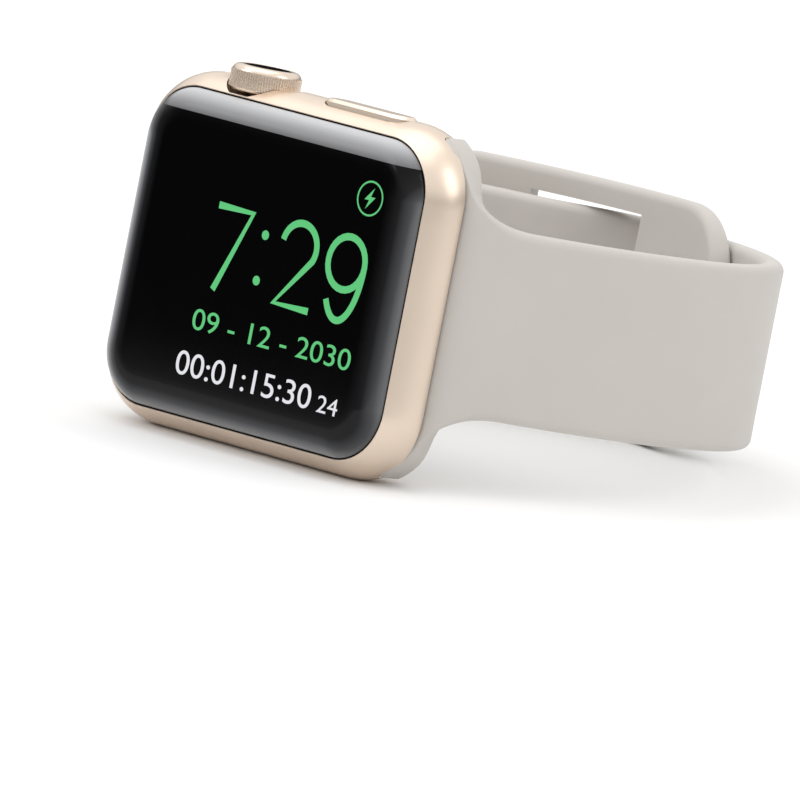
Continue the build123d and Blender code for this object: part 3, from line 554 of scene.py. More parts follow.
# --- case ---
def case_rings(case):
    """The case in section, from its floor up the inside, over the lip and round the side to the back."""
    def ring(inset, depth):
        return outline_ring(case, inset, depth)
    high = node_box("display_panel")[1]
    ledge = case.length / 2 - high.x - case.seam
    floor = case.back - 0.8 * MM
    lip = 0.06 * MM
    rings = [rounded_ring(*CAVITY, depth) for depth in (floor, high.y + 0.15 * MM)]
    rings.append(ring(ledge, high.y))
    shelf = case.front + 0.55 * MM
    rings += [ring(ledge, shelf), ring(case.rim - case.seam, shelf)]
    start = math.asin(case.front / case.side_radius)
    end = math.asin(case.back / case.side_radius)
    inset = case.side_radius * (1 - math.cos(start))
    rings += [ring(case.rim - case.seam, case.front + lip),
              ring((case.rim - case.seam + inset) / 2, case.front)]
    for i in range(25):
        angle = start + (end - start) * i / 24
        rings.append(ring(case.side_radius * (1 - math.cos(angle)), case.side_radius * math.sin(angle)))
    inset = case.side_radius * (1 - math.cos(end))
    rings += [ring(inset + 0.25 * MM, case.back), ring(inset + 3 * MM, case.back)]
    return rings


def channel_outline(clearance):
    """Section of a band channel at the +X end, or of the lug in it, in X and Y."""
    left, right = 16.8 * MM + clearance, 19.0 * MM - clearance
    front, back = -0.35 * MM + clearance, 3.5 * MM - clearance
    mouth_front, mouth_back = 0.2 * MM + clearance, 3.1 * MM - clearance
    end = 22 * MM
    cut = 0.4 * MM
    return [(end, mouth_front), (right, mouth_front), (right, front + cut), (right - cut, front),
            (left + cut, front), (left, front + cut), (left, back - cut), (left + cut, back),
            (right - cut, back), (right, back - cut), (right, mouth_back), (end, mouth_back)]


def flipped(mesh):
    """The same mesh at the other end of the watch."""
    copy = mesh.copy()
    copy.transform(Matrix.Diagonal((-1, 1, 1, 1)))
    copy.flip_normals()
    return copy


def bore(x, y, radius, low, high):
    """A round cutter along Z."""
    return turned([(radius, low), (radius, high)], (x, y, 0), steps=64)


def button_centre():
    """Middle of the side button in X and Y, and its top."""
    low, high = node_box("side_button_cap")
    return (low.x + high.x) / 2, (low.y + high.y) / 2, high.z


def release_ring(centre, length, width):
    """A function of depth that gives a slot outline in X and Z, long along Z."""
    def ring(depth, grow=0.0):
        flat = stadium_ring((0, 0), length + 2 * grow, width + 2 * grow, 0)
        return [Vector((centre.x - p.y, depth, centre.z + p.x)) for p in flat]
    return ring


class BuildCase(bpy.types.Operator):
    """Build the case with its channels, wells and sound holes"""
    bl_idname = "smartwatch.case"
    bl_label = "Case"

    def execute(self, context):
        case, crown, *_ = settings(context)
        shell = skin(case_rings(case))
        half = case.width / 2
        above = half + 1 * MM
        below = (-half - 1 * MM, -half + 1.2 * MM)
        channel = prism(channel_outline(0), -half, half)
        knob = crown_top()
        well = knob.z - crown.height - 0.35 * MM
        x, y, top = button_centre()
        gap = 0.12 * MM
        pocket = [stadium_ring((x, y), crown.button_length + 2 * gap, crown.button_width + 2 * gap, height)
                  for height in (top - 1.55 * MM, above)]
        rim = crown.radius + 0.1 * MM
        dish = [(rim, half - 0.42 * MM), (rim + 0.7 * MM, half - 0.3 * MM),
                (rim + 1.5 * MM, half - 0.08 * MM), (rim + 2.1 * MM, half + 0.1 * MM), (rim + 2.1 * MM, above)]
        cutters = [channel, flipped(channel), skin(pocket), turned(dish, (knob.x, knob.y, 0)),
                   bore(knob.x, knob.y, crown.radius + 0.15 * MM, well, above)]
        for shift in (-2.8 * MM, 2.8 * MM):
            centre = (node_x("speaker") + shift, 0)
            cutters.append(skin([stadium_ring(centre, 4 * MM, 1 * MM, height) for height in below]))
        cutters.append(bore(node_x("microphone"), 0, 0.45 * MM, *below))
        for node in ("holes_release_button", "pin_release_button"):
            low, high = node_box(node)
            ring = release_ring((low + high) / 2, *CATCH_ROOM)
            cutters.append(skin([ring(3.3 * MM), ring(case.back + 1 * MM)]))
        low, high = node_box("crown_bushing")
        cutters.append(bore(knob.x, knob.y, (high.x - low.x) / 2, low.z, well + 0.1 * MM))
        low, high = node_box("side_button_stems")
        for stem_x in (low.x + 0.7 * MM, x, high.x - 0.7 * MM):
            cutters.append(bore(stem_x, y, 0.74 * MM, low.z, top - 1.4 * MM))
        for cutter in cutters:
            shell = carved(shell, cutter)
        metal = anodised_metal("anodised_case", case.metal, 0.34)
        piece("case_shell", shell, "watch_case", metal, ["case_housing"])
        return {"FINISHED"}


# --- glass and display ---
def glass_rings(case):
    """Rings of the glass, and how far each one is from the flat (0) towards the seam (1), which sets the strength
    of the painted reflection on the curved edge.
    """
    drop = case.front - case.glass_front
    grow = case.glass_edge - math.sqrt(case.glass_edge ** 2 - (case.glass_edge - drop) ** 2)
    start = math.acos((case.glass_edge - grow) / case.glass_edge)
    rings, edges = [], []

    def add(inset, depth, edge):
        rings.append(outline_ring(case, inset, depth))
        edges.append(edge)
    add(case.rim + 0.5 * MM, case.front + 0.4 * MM, 1.0)
    add(case.rim, case.front + 0.35 * MM, 1.0)
    steps = 28
    for i in range(steps + 1):
        angle = start + (TAU / 4 - start) * i / steps
        inset = case.rim - grow + case.glass_edge * (1 - math.cos(angle))
        depth = case.glass_front + case.glass_edge * (1 - math.sin(angle))
        add(inset, depth, 1 - 0.8 * i / steps)
    last = case.rim - grow + case.glass_edge
    add(last + 0.6 * MM, case.glass_front, 0.08)
    add(last + 1.2 * MM, case.glass_front, 0.0)
    return rings, edges


class BuildGlass(bpy.types.Operator):
    """Build the cover glass and the dark seal in its seam"""
    bl_idname = "smartwatch.glass"
    bl_label = "Cover glass"

    def execute(self, context):
        case = settings(context)[0]
        rings, edges = glass_rings(case)
        mesh = skin(rings)
        count = len(rings[0])
        # The edge value sets how strong the painted reflection is over the curved edge, weaker on some sides than
        # on others.
        values = []
        for ring, edge in zip(rings, edges):
            for i in range(count):
                along = (ring[(i + 1) % count] - ring[i - 1]).normalized()
                painted_reflection_fade = max(0.5 * along.z, 0.35 * along.z) + max(0.3 * along.x, -0.9 * along.x)
                values.append(edge * (1 - min(painted_reflection_fade, 0.95)))
        # Where the bright band of painted softbox reflection starts: above a straight line along the crown side,
        # faded in at the glass's left end.
        straight = case.width / 2 - case.rim - case.glass_edge + 0.1 * MM
        band = [(p.z - straight) / (case.width / 2 - case.rim - straight) for ring in rings for p in ring]
        end = [(p.x + 16.9 * MM) / MM for ring in rings for p in ring]
        for name, data in (("edge", values), ("band", band), ("end", end)):
            mesh.attributes.new(name, "FLOAT", "POINT").data.foreach_set("value", data)
        piece("display_cover", mesh, "watch_case", glass_painted_reflection("glass_painted_reflection"),
              ["cover_glass"])
        self.seam(case)
        return {"FINISHED"}

    def seam(self, case):
        """The ring of black sealant in the gap."""
        inner, outer = case.rim + 0.02 * MM, case.rim - case.seam + 0.01 * MM
        low, high = case.front + 0.5 * MM, case.front + 0.07 * MM
        section = ((inner, low), (outer, low), (outer, high), (inner, high))
        rings = [outline_ring(case, inset, depth) for inset, depth in section]
        sealant = moulded_plastic("black_sealant", (0.004, 0.004, 0.004), 0.6, gloss=0.05)
        piece("seam_seal", skin(rings, closed=True), "watch_case", sealant, ["display_gasket"])


def arc(x, z, radius_x, radius_z, start, end, steps=28):
    """Points of an elliptical arc; angles are in degrees."""
    angles = [math.radians(start + (end - start) * i / steps) for i in range(steps + 1)]
    return [(x + radius_x * math.cos(a), z + radius_z * math.sin(a)) for a in angles]


def numerals():
    """Middle lines of the time, 7:29, in millimetres from the display's middle."""
    seven = [(-7.3, 5.45), (-2.45, 5.45), (-6.05, -2.9)]
    two = arc(4.5, 3.45, 2.35, 2.35, 172, -28) + [(2.35, -2.55), (7.25, -2.55)]
    nine_bowl = arc(11.15, 3.1, 2.5, 2.65, 0, 360)
    nine_tail = arc(11.15, 3.1, 2.5, 5.75, 0, -137)
    return [seven, two, nine_bowl, nine_tail]


def stroked(lines, width, closed=()):
    """Strokes along lines in X and Z, flat and just above the glass."""
    curve = bpy.data.curves.new("strokes", "CURVE")
    curve.dimensions = "3D"
    curve.bevel_depth = width / 2
    curve.bevel_resolution = 3
    curve.use_fill_caps = True
    for index, line in enumerate(lines):
        spline = curve.splines.new("POLY")
        ring = index in closed
        points = line[:-1] if ring else line
        spline.points.add(len(points) - 1)
        spline.use_cyclic_u = ring
        for point, (x, z) in zip(spline.points, points):
            point.co = (x * MM, 0, z * MM, 1)
    return evaluated(bpy.data.objects.new("strokes", curve))


def dots(places, radius):
    """Round dots in X and Z."""
    profile = [(radius, -radius), (radius, radius)]
    return [turned(profile, (x * MM, 0, z * MM), (0, 1, 0), 32) for x, z in places]


def written(text, low, high):
    """A line of text between two corners (x, z), in millimetres from the display's middle."""
    curve = bpy.data.curves.new("line", "FONT")
    curve.body = text
    curve.extrude = 1.0
    mesh = evaluated(bpy.data.objects.new("line", curve))
    xs = [v.co.x for v in mesh.vertices]
    ys = [v.co.y for v in mesh.vertices if v.co.y > -0.01] or [0.0]
    across = (high[0] - low[0]) * MM / (max(xs) - min(xs))
    tall = (high[1] - low[1]) * MM / max(ys)
    mesh.transform(Matrix.Translation((-min(xs), 0, 0)))
    mesh.transform(Matrix(((across, 0, 0, low[0] * MM), (0, 0, -MM, 0), (0, tall, 0, low[1] * MM),
                           (0, 0, 0, 1))))
    return mesh


class BuildDisplay(bpy.types.Operator):
    """Show the time, the date, a timer and the charging sign"""
    bl_idname = "smartwatch.display"
    bl_label = "Display"

    def execute(self, context):
        case, _, _, display, _ = settings(context)
        accent = lit("lit_accent", display.accent)
        plain = lit("lit_plain", display.plain)
        time = merged(stroked(numerals(), display.stroke, closed=(2,)),
                      *dots(((-0.35, 3.7), (-0.4, -0.9)), 0.48 * MM))
        bolt = [(0.42, 1.1), (-0.72, -0.18), (-0.08, -0.18), (-0.42, -1.1), (0.72, 0.18), (0.08, 0.18)]
        sign = stroked([arc(SIGN_X, SIGN_Z, 1.68, 1.68, 0, 360)], 0.2 * MM, closed=(0,))
        bolt = skin([[Vector(((SIGN_X + x) * MM, y, (SIGN_Z + z) * MM)) for x, z in bolt] for y in (-MM, MM)])
        timer = merged(written(display.timer, (-9.0, -11.9), (9.9, -9.5)),
                       written(display.suffix, (10.9, -11.9), (13.7, -10.2)))
        date = written(display.date, (-7.9, -7.2), (14.2, -5.1))
        place = Matrix.Translation((display.shift, case.glass_front, 0))
        self.show("time_numerals", time, place, accent)
        self.show("date_line", date, place, accent)
        self.show("timer_line", timer, place, plain)
        self.show("charging_sign", merged(sign, bolt), place, accent)
        return {"FINISHED"}

    def show(self, name, mesh, place, finish):
        """Flattens a sign and lays it on the glass."""
        depth = max(abs(v.co.y) for v in mesh.vertices)
        flat = 0.015 * MM / depth
        mesh.transform(place @ Matrix.Diagonal((1, flat, 1, 1)))
        piece(name, mesh, "watch_case", finish)


# --- geometry node trees ---
def node_tree(name, inputs):
    """A new geometry node tree with named inputs, and the function that adds a node to it."""
    tree = bpy.data.node_groups.new(name, "GeometryNodeTree")
    tree.interface.new_socket("Geometry", in_out="INPUT", socket_type="NodeSocketGeometry")
    for label, kind, default in inputs:
        socket = tree.interface.new_socket(label, in_out="INPUT", socket_type=kind)
        if default is not None:
            socket.default_value = default
    tree.interface.new_socket("Geometry", in_out="OUTPUT", socket_type="NodeSocketGeometry")
    source = tree.nodes.new("NodeGroupInput")

    def add(kind, sockets, **options):
        node = tree.nodes.new(kind)
        for option, value in options.items():
            setattr(node, option, value)
        for key, value in sockets.items():
            if isinstance(value, bpy.types.NodeSocket):
                tree.links.new(value, node.inputs[key])
            else:
                node.inputs[key].default_value = value
        return node
    return tree, source, add


def close_tree(tree, add, geometry, material):
    """Ends a tree in real geometry with its material."""
    realised = add("GeometryNodeRealizeInstances", {"Geometry": geometry})
    painted = add("GeometryNodeSetMaterial", {"Geometry": realised.outputs[0], "Material": material})
    add("NodeGroupOutput", {0: painted.outputs[0]})


def grown(tree, seed_mesh, values):
    """Runs a tree on a mesh, with its inputs set by their identifiers, and gives the plain mesh."""
    obj = bpy.data.objects.new("seed", seed_mesh)
    modifier = obj.modifiers.new("grow", "NODES")
    modifier.node_group = tree
    for item in tree.interface.items_tree:
        if item.in_out == "INPUT" and item.name in values:
            modifier[item.identifier] = values[item.name]
    return evaluated(obj)


def rods_on_circle():
    """A tree that stands rods round a circle: the knurl of the crown, or lenses when they are short."""
    tree, source, add = node_tree("Rods on a circle", (
        ("Count", "NodeSocketInt", 12), ("Circle", "NodeSocketFloat", 0.003),
        ("Rod radius", "NodeSocketFloat", 0.0001), ("Rod height", "NodeSocketFloat", 0.001),
        ("Sides", "NodeSocketInt", 8), ("Material", "NodeSocketMaterial", None)))
    circle = add("GeometryNodeMeshCircle", {"Vertices": source.outputs["Count"],
                                            "Radius": source.outputs["Circle"]})
    rod = add("GeometryNodeMeshCylinder", {"Vertices": source.outputs["Sides"],
                                           "Radius": source.outputs["Rod radius"],
                                           "Depth": source.outputs["Rod height"]})
    placed = add("GeometryNodeInstanceOnPoints", {"Points": circle.outputs[0], "Instance": rod.outputs[0]})
    close_tree(tree, add, placed.outputs[0], source.outputs["Material"])
    return tree


def punches_on_points():
    """A tree that stands a punch on every point of a mesh, along the axis stored there."""
    tree, source, add = node_tree("Punches on points", (
        ("Punch radius", "NodeSocketFloat", 0.001), ("Punch length", "NodeSocketFloat", 0.01),
        ("Material", "NodeSocketMaterial", None)))
    punch = add("GeometryNodeMeshCylinder", {"Vertices": 48, "Radius": source.outputs["Punch radius"],
                                             "Depth": source.outputs["Punch length"]})
    axis = add("GeometryNodeInputNamedAttribute", {"Name": "axis"}, data_type="FLOAT_VECTOR")
    aimed = add("FunctionNodeAlignRotationToVector", {"Vector": axis.outputs["Attribute"]}, axis="Z")
    placed = add("GeometryNodeInstanceOnPoints", {"Points": source.outputs["Geometry"],
                                                  "Instance": punch.outputs[0],
                                                  "Rotation": aimed.outputs[0]})
    close_tree(tree, add, placed.outputs[0], source.outputs["Material"])
    return tree


# --- crown and side button ---
class BuildCrown(bpy.types.Operator):
    """Build the knurled crown and its dark end cap"""
    bl_idname = "smartwatch.crown"
    bl_label = "Crown"

    def execute(self, context):
        case, crown, *_ = settings(context)
        top = crown_top()
        base = -crown.height
        valley = crown.radius - crown.ridge * 0.75
        foot, head = crown.base_round, crown.top_round
        profile = [(crown.radius * 0.7, base)]
        profile += [(valley - foot + rise, base + run) for run, rise in quarter_round(foot, 6)]
        profile += [(valley - run, -head + rise) for run, rise in quarter_round(head, 10)]
        profile += [(crown.cap_radius + 0.05 * MM, 0.0), (crown.cap_radius, -0.05 * MM),
                    (crown.cap_radius, -0.3 * MM), (0.3 * MM, -0.3 * MM)]
        knob = turned(profile, top, steps=128)
        metal = anodised_metal("anodised_crown", case.metal, 0.27)
        piece("crown_body", knob, "crown", metal, ["crown_knob"])
        height = crown.height - (foot + head) * 0.75
        ridges = grown(rods_on_circle(), bpy.data.meshes.new("seed"), {
            "Count": crown.ridges, "Circle": crown.radius - crown.ridge, "Rod radius": crown.ridge,
            "Rod height": height, "Sides": 8, "Material": metal})
        ridges.transform(Matrix.Translation(top + Vector((0, 0, base + foot * 0.75 + height / 2))))
        piece("crown_knurl", ridges, "crown", metal, sharp=math.radians(60))
        cap = turned([(crown.cap_radius - 0.04 * MM, -0.29 * MM), (crown.cap_radius - 0.04 * MM, -0.08 * MM),
                      (crown.cap_radius - 0.12 * MM, -0.02 * MM), (crown.cap_radius * 0.6, 0.03 * MM),
                      (0.3 * MM, 0.05 * MM)], top)
        piece("crown_end_cap", cap, "crown", gloss_black("polished_black_cap", 0.0),
              ["crown_cap"], sharp=math.radians(50))
        return {"FINISHED"}


class BuildSideButton(bpy.types.Operator):
    """Build the side button with its bright chamfer"""
    bl_idname = "smartwatch.side_button"
    bl_label = "Side button"

    def execute(self, context):
        case, crown, *_ = settings(context)
        x, y, top = button_centre()
        chamfer = 0.3 * MM
        section = ((0, top - 1.2 * MM), (0, top - chamfer - 0.03 * MM), (0.03 * MM, top - chamfer),
                   (chamfer, top - 0.03 * MM), (chamfer + 0.05 * MM, top),
                   (chamfer + 0.5 * MM, top + 0.03 * MM), (crown.button_width * 0.35, top + 0.05 * MM))
        rings = [stadium_ring((x, y), crown.button_length - 2 * inset, crown.button_width - 2 * inset,
                              height, 24) for inset, height in section]
        mesh = skin(rings)
        button = piece("side_button", mesh, "side_button",
                       anodised_metal("anodised_button", case.metal, 0.3), ["side_button_cap"],
                       sharp=math.radians(20))
        button.data.materials.append(polished_metal("bright_chamfer", shade(case.metal, 1.15)))
        count = len(rings[0])
        for face in button.data.polygons:
            if 2 * count <= face.index < 3 * count:
                face.material_index = 1
        return {"FINISHED"}


# --- back ---
class BuildBack(bpy.types.Operator):
    """Build the back plate, the domed window and its lenses"""
    bl_idname = "smartwatch.back"
    bl_label = "Back"

    def execute(self, context):
        case = settings(context)[0]
        low, high = node_box("back_cover")
        length, width, corner = high.x - low.x, high.z - low.z, 6 * MM
        window_low, window_high = node_box("sensor_window")
        radius = (window_high.x - window_low.x) / 2
        edge = 0.4 * MM
        bottom = low.y - 0.1 * MM
        rings = [rounded_ring(length, width, corner, depth) for depth in (bottom, high.y - edge)]
        for run, rise in quarter_round(edge, 5)[1:]:
            rings.append(rounded_ring(length - 2 * run, width - 2 * run, corner - run, high.y - edge + rise))
        outer = rings[-1]
        hole = [Vector((p.x, 0, p.z)).normalized() * (radius + 0.06 * MM) for p in outer]
        rings += [[Vector((h.x, depth, h.z)) for h in hole] for depth in (high.y, bottom)]
        plate = skin(rings, closed=True)
        shell = moulded_plastic("polished_back", linear(196, 190, 184), 0.22, 0.5)
        piece("back_plate", plate, "watch_case", shell, ["back_cover"])
        rise = window_high.y - high.y
        ball = (radius ** 2 + rise ** 2) / (2 * rise)
        profile = [(radius, low.y - window_high.y), (radius, -rise)]
        for i in range(1, 24):
            r = radius * (1 - i / 24)
            profile.append((r, math.sqrt(ball ** 2 - r ** 2) - ball))
        dome = turned(profile, (0, window_high.y, 0), (0, 1, 0), 128)
        piece("window_dome", dome, "watch_case", dark_window("dark_window"),
              ["sensor_window"])
        self.lenses(case, window_high.y, ball)
        return {"FINISHED"}

    def lenses(self, case, top, ball):
        """Four round lenses just proud of the dome."""
        low, high = node_box("sensor_optics")
        lens = 1.6 * MM
        circle = (high.x - low.x) / 2 * math.sqrt(2) - lens * 0.42
        glass = moulded_plastic("lens_glass", (0.09, 0.11, 0.10), 0.12, 0.4)
        height = 0.5 * MM
        mesh = grown(rods_on_circle(), bpy.data.meshes.new("seed"), {
            "Count": 4, "Circle": circle, "Rod radius": lens, "Rod height": height, "Sides": 48,
            "Material": glass})
        depth = top - (ball - math.sqrt(ball ** 2 - (circle - lens) ** 2)) - height / 2
        mesh.transform(Matrix.Translation((0, depth, 0)) @ Matrix.Rotation(-TAU / 4, 4, "X")
                       @ Matrix.Rotation(TAU / 8, 4, "Z"))
        piece("sensor_lenses", mesh, "watch_case", glass, ["sensor_optics"])


# --- band ---
class BandPath:
    """The middle line of a strap as runs of arcs, read by distance along it."""

    def __init__(self, points):
        self.points = [Vector((x, y, 0)) for x, y in points]
        self.reach = [0.0]
        for a, b in zip(self.points, self.points[1:]):
            self.reach.append(self.reach[-1] + (b - a).length)
        self.length = self.reach[-1]

    def at(self, distance):
        """The place, the direction and the outward direction at a distance."""
        distance = min(max(distance, 0.0), self.length)
        index = next((i for i, r in enumerate(self.reach[1:]) if r >= distance), len(self.reach) - 2)
        a, b = self.points[index], self.points[index + 1]
        share = (distance - self.reach[index]) / (self.reach[index + 1] - self.reach[index])
        place = a.lerp(b, share)
        before = (a - self.points[max(index - 1, 0)]).normalized()
        here = (b - a).normalized()
        after = (self.points[min(index + 2, len(self.points) - 1)] - b).normalized()
        direction = ((before + here) if index else here * 2).lerp(
            (here + after) if after.length else here * 2, share).normalized()
        return place, direction, Vector((direction.y, -direction.x, 0))

    def distance_at(self, test):
        """The first distance where test(point) holds."""
        return next(r for r, p in zip(self.reach, self.points) if test(p))


def loop_arcs(band, case, bulge):
    """The wide and the back arc of one half of the loop, as (x, y, radius)."""
    half = case.length / 2 + band.overhang
    back = band.flatten * (half ** 2 + bulge ** 2) / (2 * bulge)
    wide = (half ** 2 + bulge ** 2 - 2 * back * bulge) / (2 * (half - back))
    return (half - wide, band.middle, wide), (0.0, band.middle + bulge - back, back)


def swept(circle, start, end):
    """Points along an arc, half a millimetre apart; angles are in degrees."""
    x, y, radius = circle
    count = max(2, round(abs(math.radians(end - start)) * radius / (0.5 * MM)))
    angles = [math.radians(start + (end - start) * i / count) for i in range(count + 1)]
    return [(x + radius * math.cos(a), y + radius * math.sin(a)) for a in angles]


def half_loop(band, case, bulge):
    """From inside the channel round the +X side to the middle of the back."""
    wide, back = loop_arcs(band, case, bulge)
    turn_angle = math.degrees(math.atan2(wide[1] - back[1], wide[0] - back[0]))
    mouth = CHANNEL_MIDDLE
    lip = 0.28 * MM
    outer = case.length / 2 + band.overhang + band.thickness / 2
    flank = ((outer - case.length / 2) ** 2 + (band.middle - lip) ** 2) / (2 * (outer - case.length / 2))
    centre = (outer - flank, band.middle)
    flank -= band.thickness / 2
    bend = 3.0 * MM
    bend_y = mouth + bend
    bend_x = centre[0] + math.sqrt((flank - bend) ** 2 - (bend_y - centre[1]) ** 2)
    join = math.degrees(math.atan2(bend_y - centre[1], bend_x - centre[0]))
    start = 16.9 * MM
    straight = [(start + (bend_x - start) * i / 5, mouth) for i in range(5)]
    return (straight + swept((bend_x, bend_y, bend), -90, join) + swept((*centre, flank), join, 0)[1:]
            + swept(wide, 0, turn_angle)[1:] + swept(back, turn_angle, 90)[1:])


def layer_step(band):
    """From one layer of the closed band to the next."""
    return band.thickness + band.layer_gap


def deeper(circle, offset):
    """The same arc in another layer."""
    return circle[0], circle[1], circle[2] + offset


def holes_path(band, case):
    """Outside the pin strap's tip, in through its slot, then along the wrist."""
    step = layer_step(band)
    wide, back = loop_arcs(band, case, band.bulge - step)
    turn_angle = 180 - math.degrees(math.atan2(wide[1] - back[1], wide[0] - back[0]))
    dive_start, dive_sweep = 92.5, 19.0
    outside = half_loop(band, case, band.bulge) + swept(deeper(back, step), 90, dive_start)[1:]
    dive = []
    for i in range(1, 25):
        angle = math.radians(dive_start + dive_sweep * i / 24)
        depth = back[2] + step * math.cos(math.pi * i / 24)
        dive.append((back[0] + depth * math.cos(angle), back[1] + depth * math.sin(angle)))
    inside = swept(deeper(back, -step), dive_start + dive_sweep, turn_angle)[1:]
    tail = swept(deeper((-wide[0], wide[1], wide[2]), -step), turn_angle, 180)[1:]
    whole = BandPath(outside + dive + inside + tail)
    end = BandPath(outside + dive).length + 19.0 * MM
    return BandPath([p.xy for p, r in zip(whole.points, whole.reach) if r <= end])


def pin_path(band, case):
    """Round the -X side and under the holes strap to the tip, drawn on the +X side first."""
    step = layer_step(band)
    under = deeper(loop_arcs(band, case, band.bulge)[1], -step)
    tip = 90 - math.degrees(14.0 * MM / under[2])
    side = [(-x, y) for x, y in half_loop(band, case, band.bulge - step)]
    return BandPath(side + swept(under, 90, tip)[1:])


def lug_half_width(x, band, case):
    """Half width of a strap at a distance from the watch's middle: the case's corner, then the flare."""
    corner = case.corner
    centre = (case.length / 2 - corner, case.width / 2 - corner)
    hollow_z = band.width / 2 + band.flare
    reach = math.sqrt((corner + band.flare) ** 2 - (hollow_z - centre[1]) ** 2)
    meet = centre[0] + reach * corner / (corner + band.flare)
    if x <= meet:
        return centre[1] + math.sqrt(max(corner ** 2 - max(x - centre[0], 0.0) ** 2, 0.0))
    if x < centre[0] + reach:
        return hollow_z - math.sqrt(band.flare ** 2 - (centre[0] + reach - x) ** 2)
    return band.width / 2


def blend_between(value, low, high):
    """0 below low, 1 above high and a smooth step between."""
    share = min(1.0, max(0.0, (value - low) / (high - low)))
    return share * share * (3 - 2 * share)


def strap_section(path, distance, half_width, half_thickness, edge):
    """One closed section of a strap, across its path."""
    place, _, outward = path.at(distance)
    edge = min(edge, half_thickness * 0.98, half_width * 0.98)
    flat_z = half_width - edge
    flat_t = half_thickness - edge
    points = []
    for sign_z, sign_t, quarter in ((1, 1, 0), (-1, 1, 1), (-1, -1, 2), (1, -1, 3)):
        for step in range(7):
            angle = TAU / 4 * (quarter + step / 6)
            points.append((sign_z * flat_z + edge * math.cos(angle),
                           sign_t * flat_t + edge * math.sin(angle)))
        if sign_t == sign_z:
            start = sign_z * flat_z
            points += [(start - 2 * start * i / 16, sign_t * half_thickness) for i in range(1, 16)]
    return [place + outward * t + Vector((0, 0, z)) for z, t in points]


def stations(length, spacing, ends):
    """Distances along a strap, closer together near its rounded end."""
    body = length - ends
    count = round(body / spacing)
    result = [body * i / count for i in range(count)]
    return result + [body + ends * math.sin(TAU / 4 * i / 22) for i in range(23)]


def strap_mesh(path, band, case, width_at, end_corner):
    """A strap with rounded edges, its flare at the case and a rounded end."""
    rings = []
    nose = band.edge
    for distance in stations(path.length, 0.55 * MM, end_corner):
        place, _, _ = path.at(distance)
        near_case = place.y < band.middle / 2
        half = lug_half_width(abs(place.x), band, case) if near_case else width_at(distance)
        left = path.length - distance
        if left < end_corner:
            half -= end_corner - math.sqrt(max(end_corner ** 2 - (end_corner - left) ** 2, 0.0))
        out = blend_between(place.y, CHANNEL_MIDDLE, 9 * MM) if near_case else 1.0
        thick = band.mouth + (band.thickness - band.mouth) * out
        if left < nose:
            thick *= max(math.sqrt(max(1 - (1 - left / nose) ** 2, 0.0)), 0.12)
        soft = 0.35 * MM + (band.edge - 0.35 * MM) * blend_between(place.y, 1.7 * MM, 5 * MM)
        rings.append(strap_section(path, distance, half, thick / 2, soft if near_case else band.edge))
    return skin(rings)


def lug_mesh(case):
    """The part of a strap that fills its channel at the +X end, level with the case's side."""
    half = case.width / 2
    rings = []
    inset = 0.06 * MM
    for i in range(25):
        angle = TAU / 4 * (i / 12 - 1)
        reach = case.side_radius * (1 - math.cos(angle)) + inset
        rings.append(outline_ring(case, reach, case.side_radius * math.sin(angle)))
    clearance = 0.08 * MM
    outline = [(min(x, 20.4 * MM), y) for x, y in channel_outline(clearance)]
    return carved(prism(outline, -half, half), skin(rings), "INTERSECT")


def with_lug(strap, lug, catch):
    """A strap joined to its lug, with room cut in it for its sprung catch."""
    low, high = node_box(catch)
    ring = release_ring((low + high) / 2, *CATCH_ROOM)
    return carved(carved(strap, lug, "UNION"), skin([ring(high.y - 1.7 * MM), ring(high.y + 1 * MM)]))


class BuildHolesStrap(bpy.types.Operator):
    """Build the strap with the adjustment holes"""
    bl_idname = "smartwatch.holes_strap"
    bl_label = "Holes strap"

    def execute(self, context):
        case, _, band, *_ = settings(context)
        path = holes_path(band, case)
        strap = strap_mesh(path, band, case, lambda distance: band.width / 2, 7.0 * MM)
        strap = carved(with_lug(strap, lug_mesh(case), "holes_lug_catch"), self.punches(path, band))
        rubber = soft_elastomer("band_elastomer", band.elastomer)
        piece("holes_strap", strap, "holes_strap", rubber, ["band_holes_strap"])
        return {"FINISHED"}

    def punches(self, path, band):
        """Cutters for the holes, one of them round the pin."""
        pin_x = node_x("closure_pin")
        pin = path.distance_at(lambda p: p.y > band.middle and p.x <= pin_x)
        seeds = bpy.data.meshes.new("seeds")
        places = [path.at(pin + band.pitch * i) for i in range(-2, 5)]
        seeds.from_pydata([place for place, _, _ in places], [], [])
        axes = [value for _, _, outward in places for value in outward]
        seeds.attributes.new("axis", "FLOAT_VECTOR", "POINT").data.foreach_set("vector", axes)
        return grown(punches_on_points(), seeds,
                     {"Punch radius": band.hole, "Punch length": 2 * band.thickness})


class BuildPinStrap(bpy.types.Operator):
    """Build the strap with the pin and the slot"""
    bl_idname = "smartwatch.pin_strap"
    bl_label = "Pin strap"

    def execute(self, context):
        case, _, band, *_ = settings(context)
        path = pin_path(band, case)
        shoulder = path.length - 34.5 * MM
        closure = 12.5 * MM

        def width_at(distance):
            share = blend_between(distance, shoulder - 7 * MM, shoulder)
            return band.width / 2 + (closure - band.width / 2) * share
        strap = strap_mesh(path, band, case, width_at, 8.0 * MM)
        strap = with_lug(strap, flipped(lug_mesh(case)), "pin_lug_catch")
        back = loop_arcs(band, case, band.bulge - layer_step(band))[1]
        slot_path = BandPath(swept(back, 90.5, 113.5))
        slot = skin([strap_section(slot_path, slot_path.length * i / 24, band.width / 2 + 0.5 * MM,
                                   band.thickness * 1.2, 0.4 * MM) for i in range(25)])
        strap = carved(strap, slot)
        rubber = soft_elastomer("band_elastomer_pin", band.elastomer)
        piece("pin_strap", strap, "pin_strap", rubber, ["band_pin_strap"])
        return {"FINISHED"}


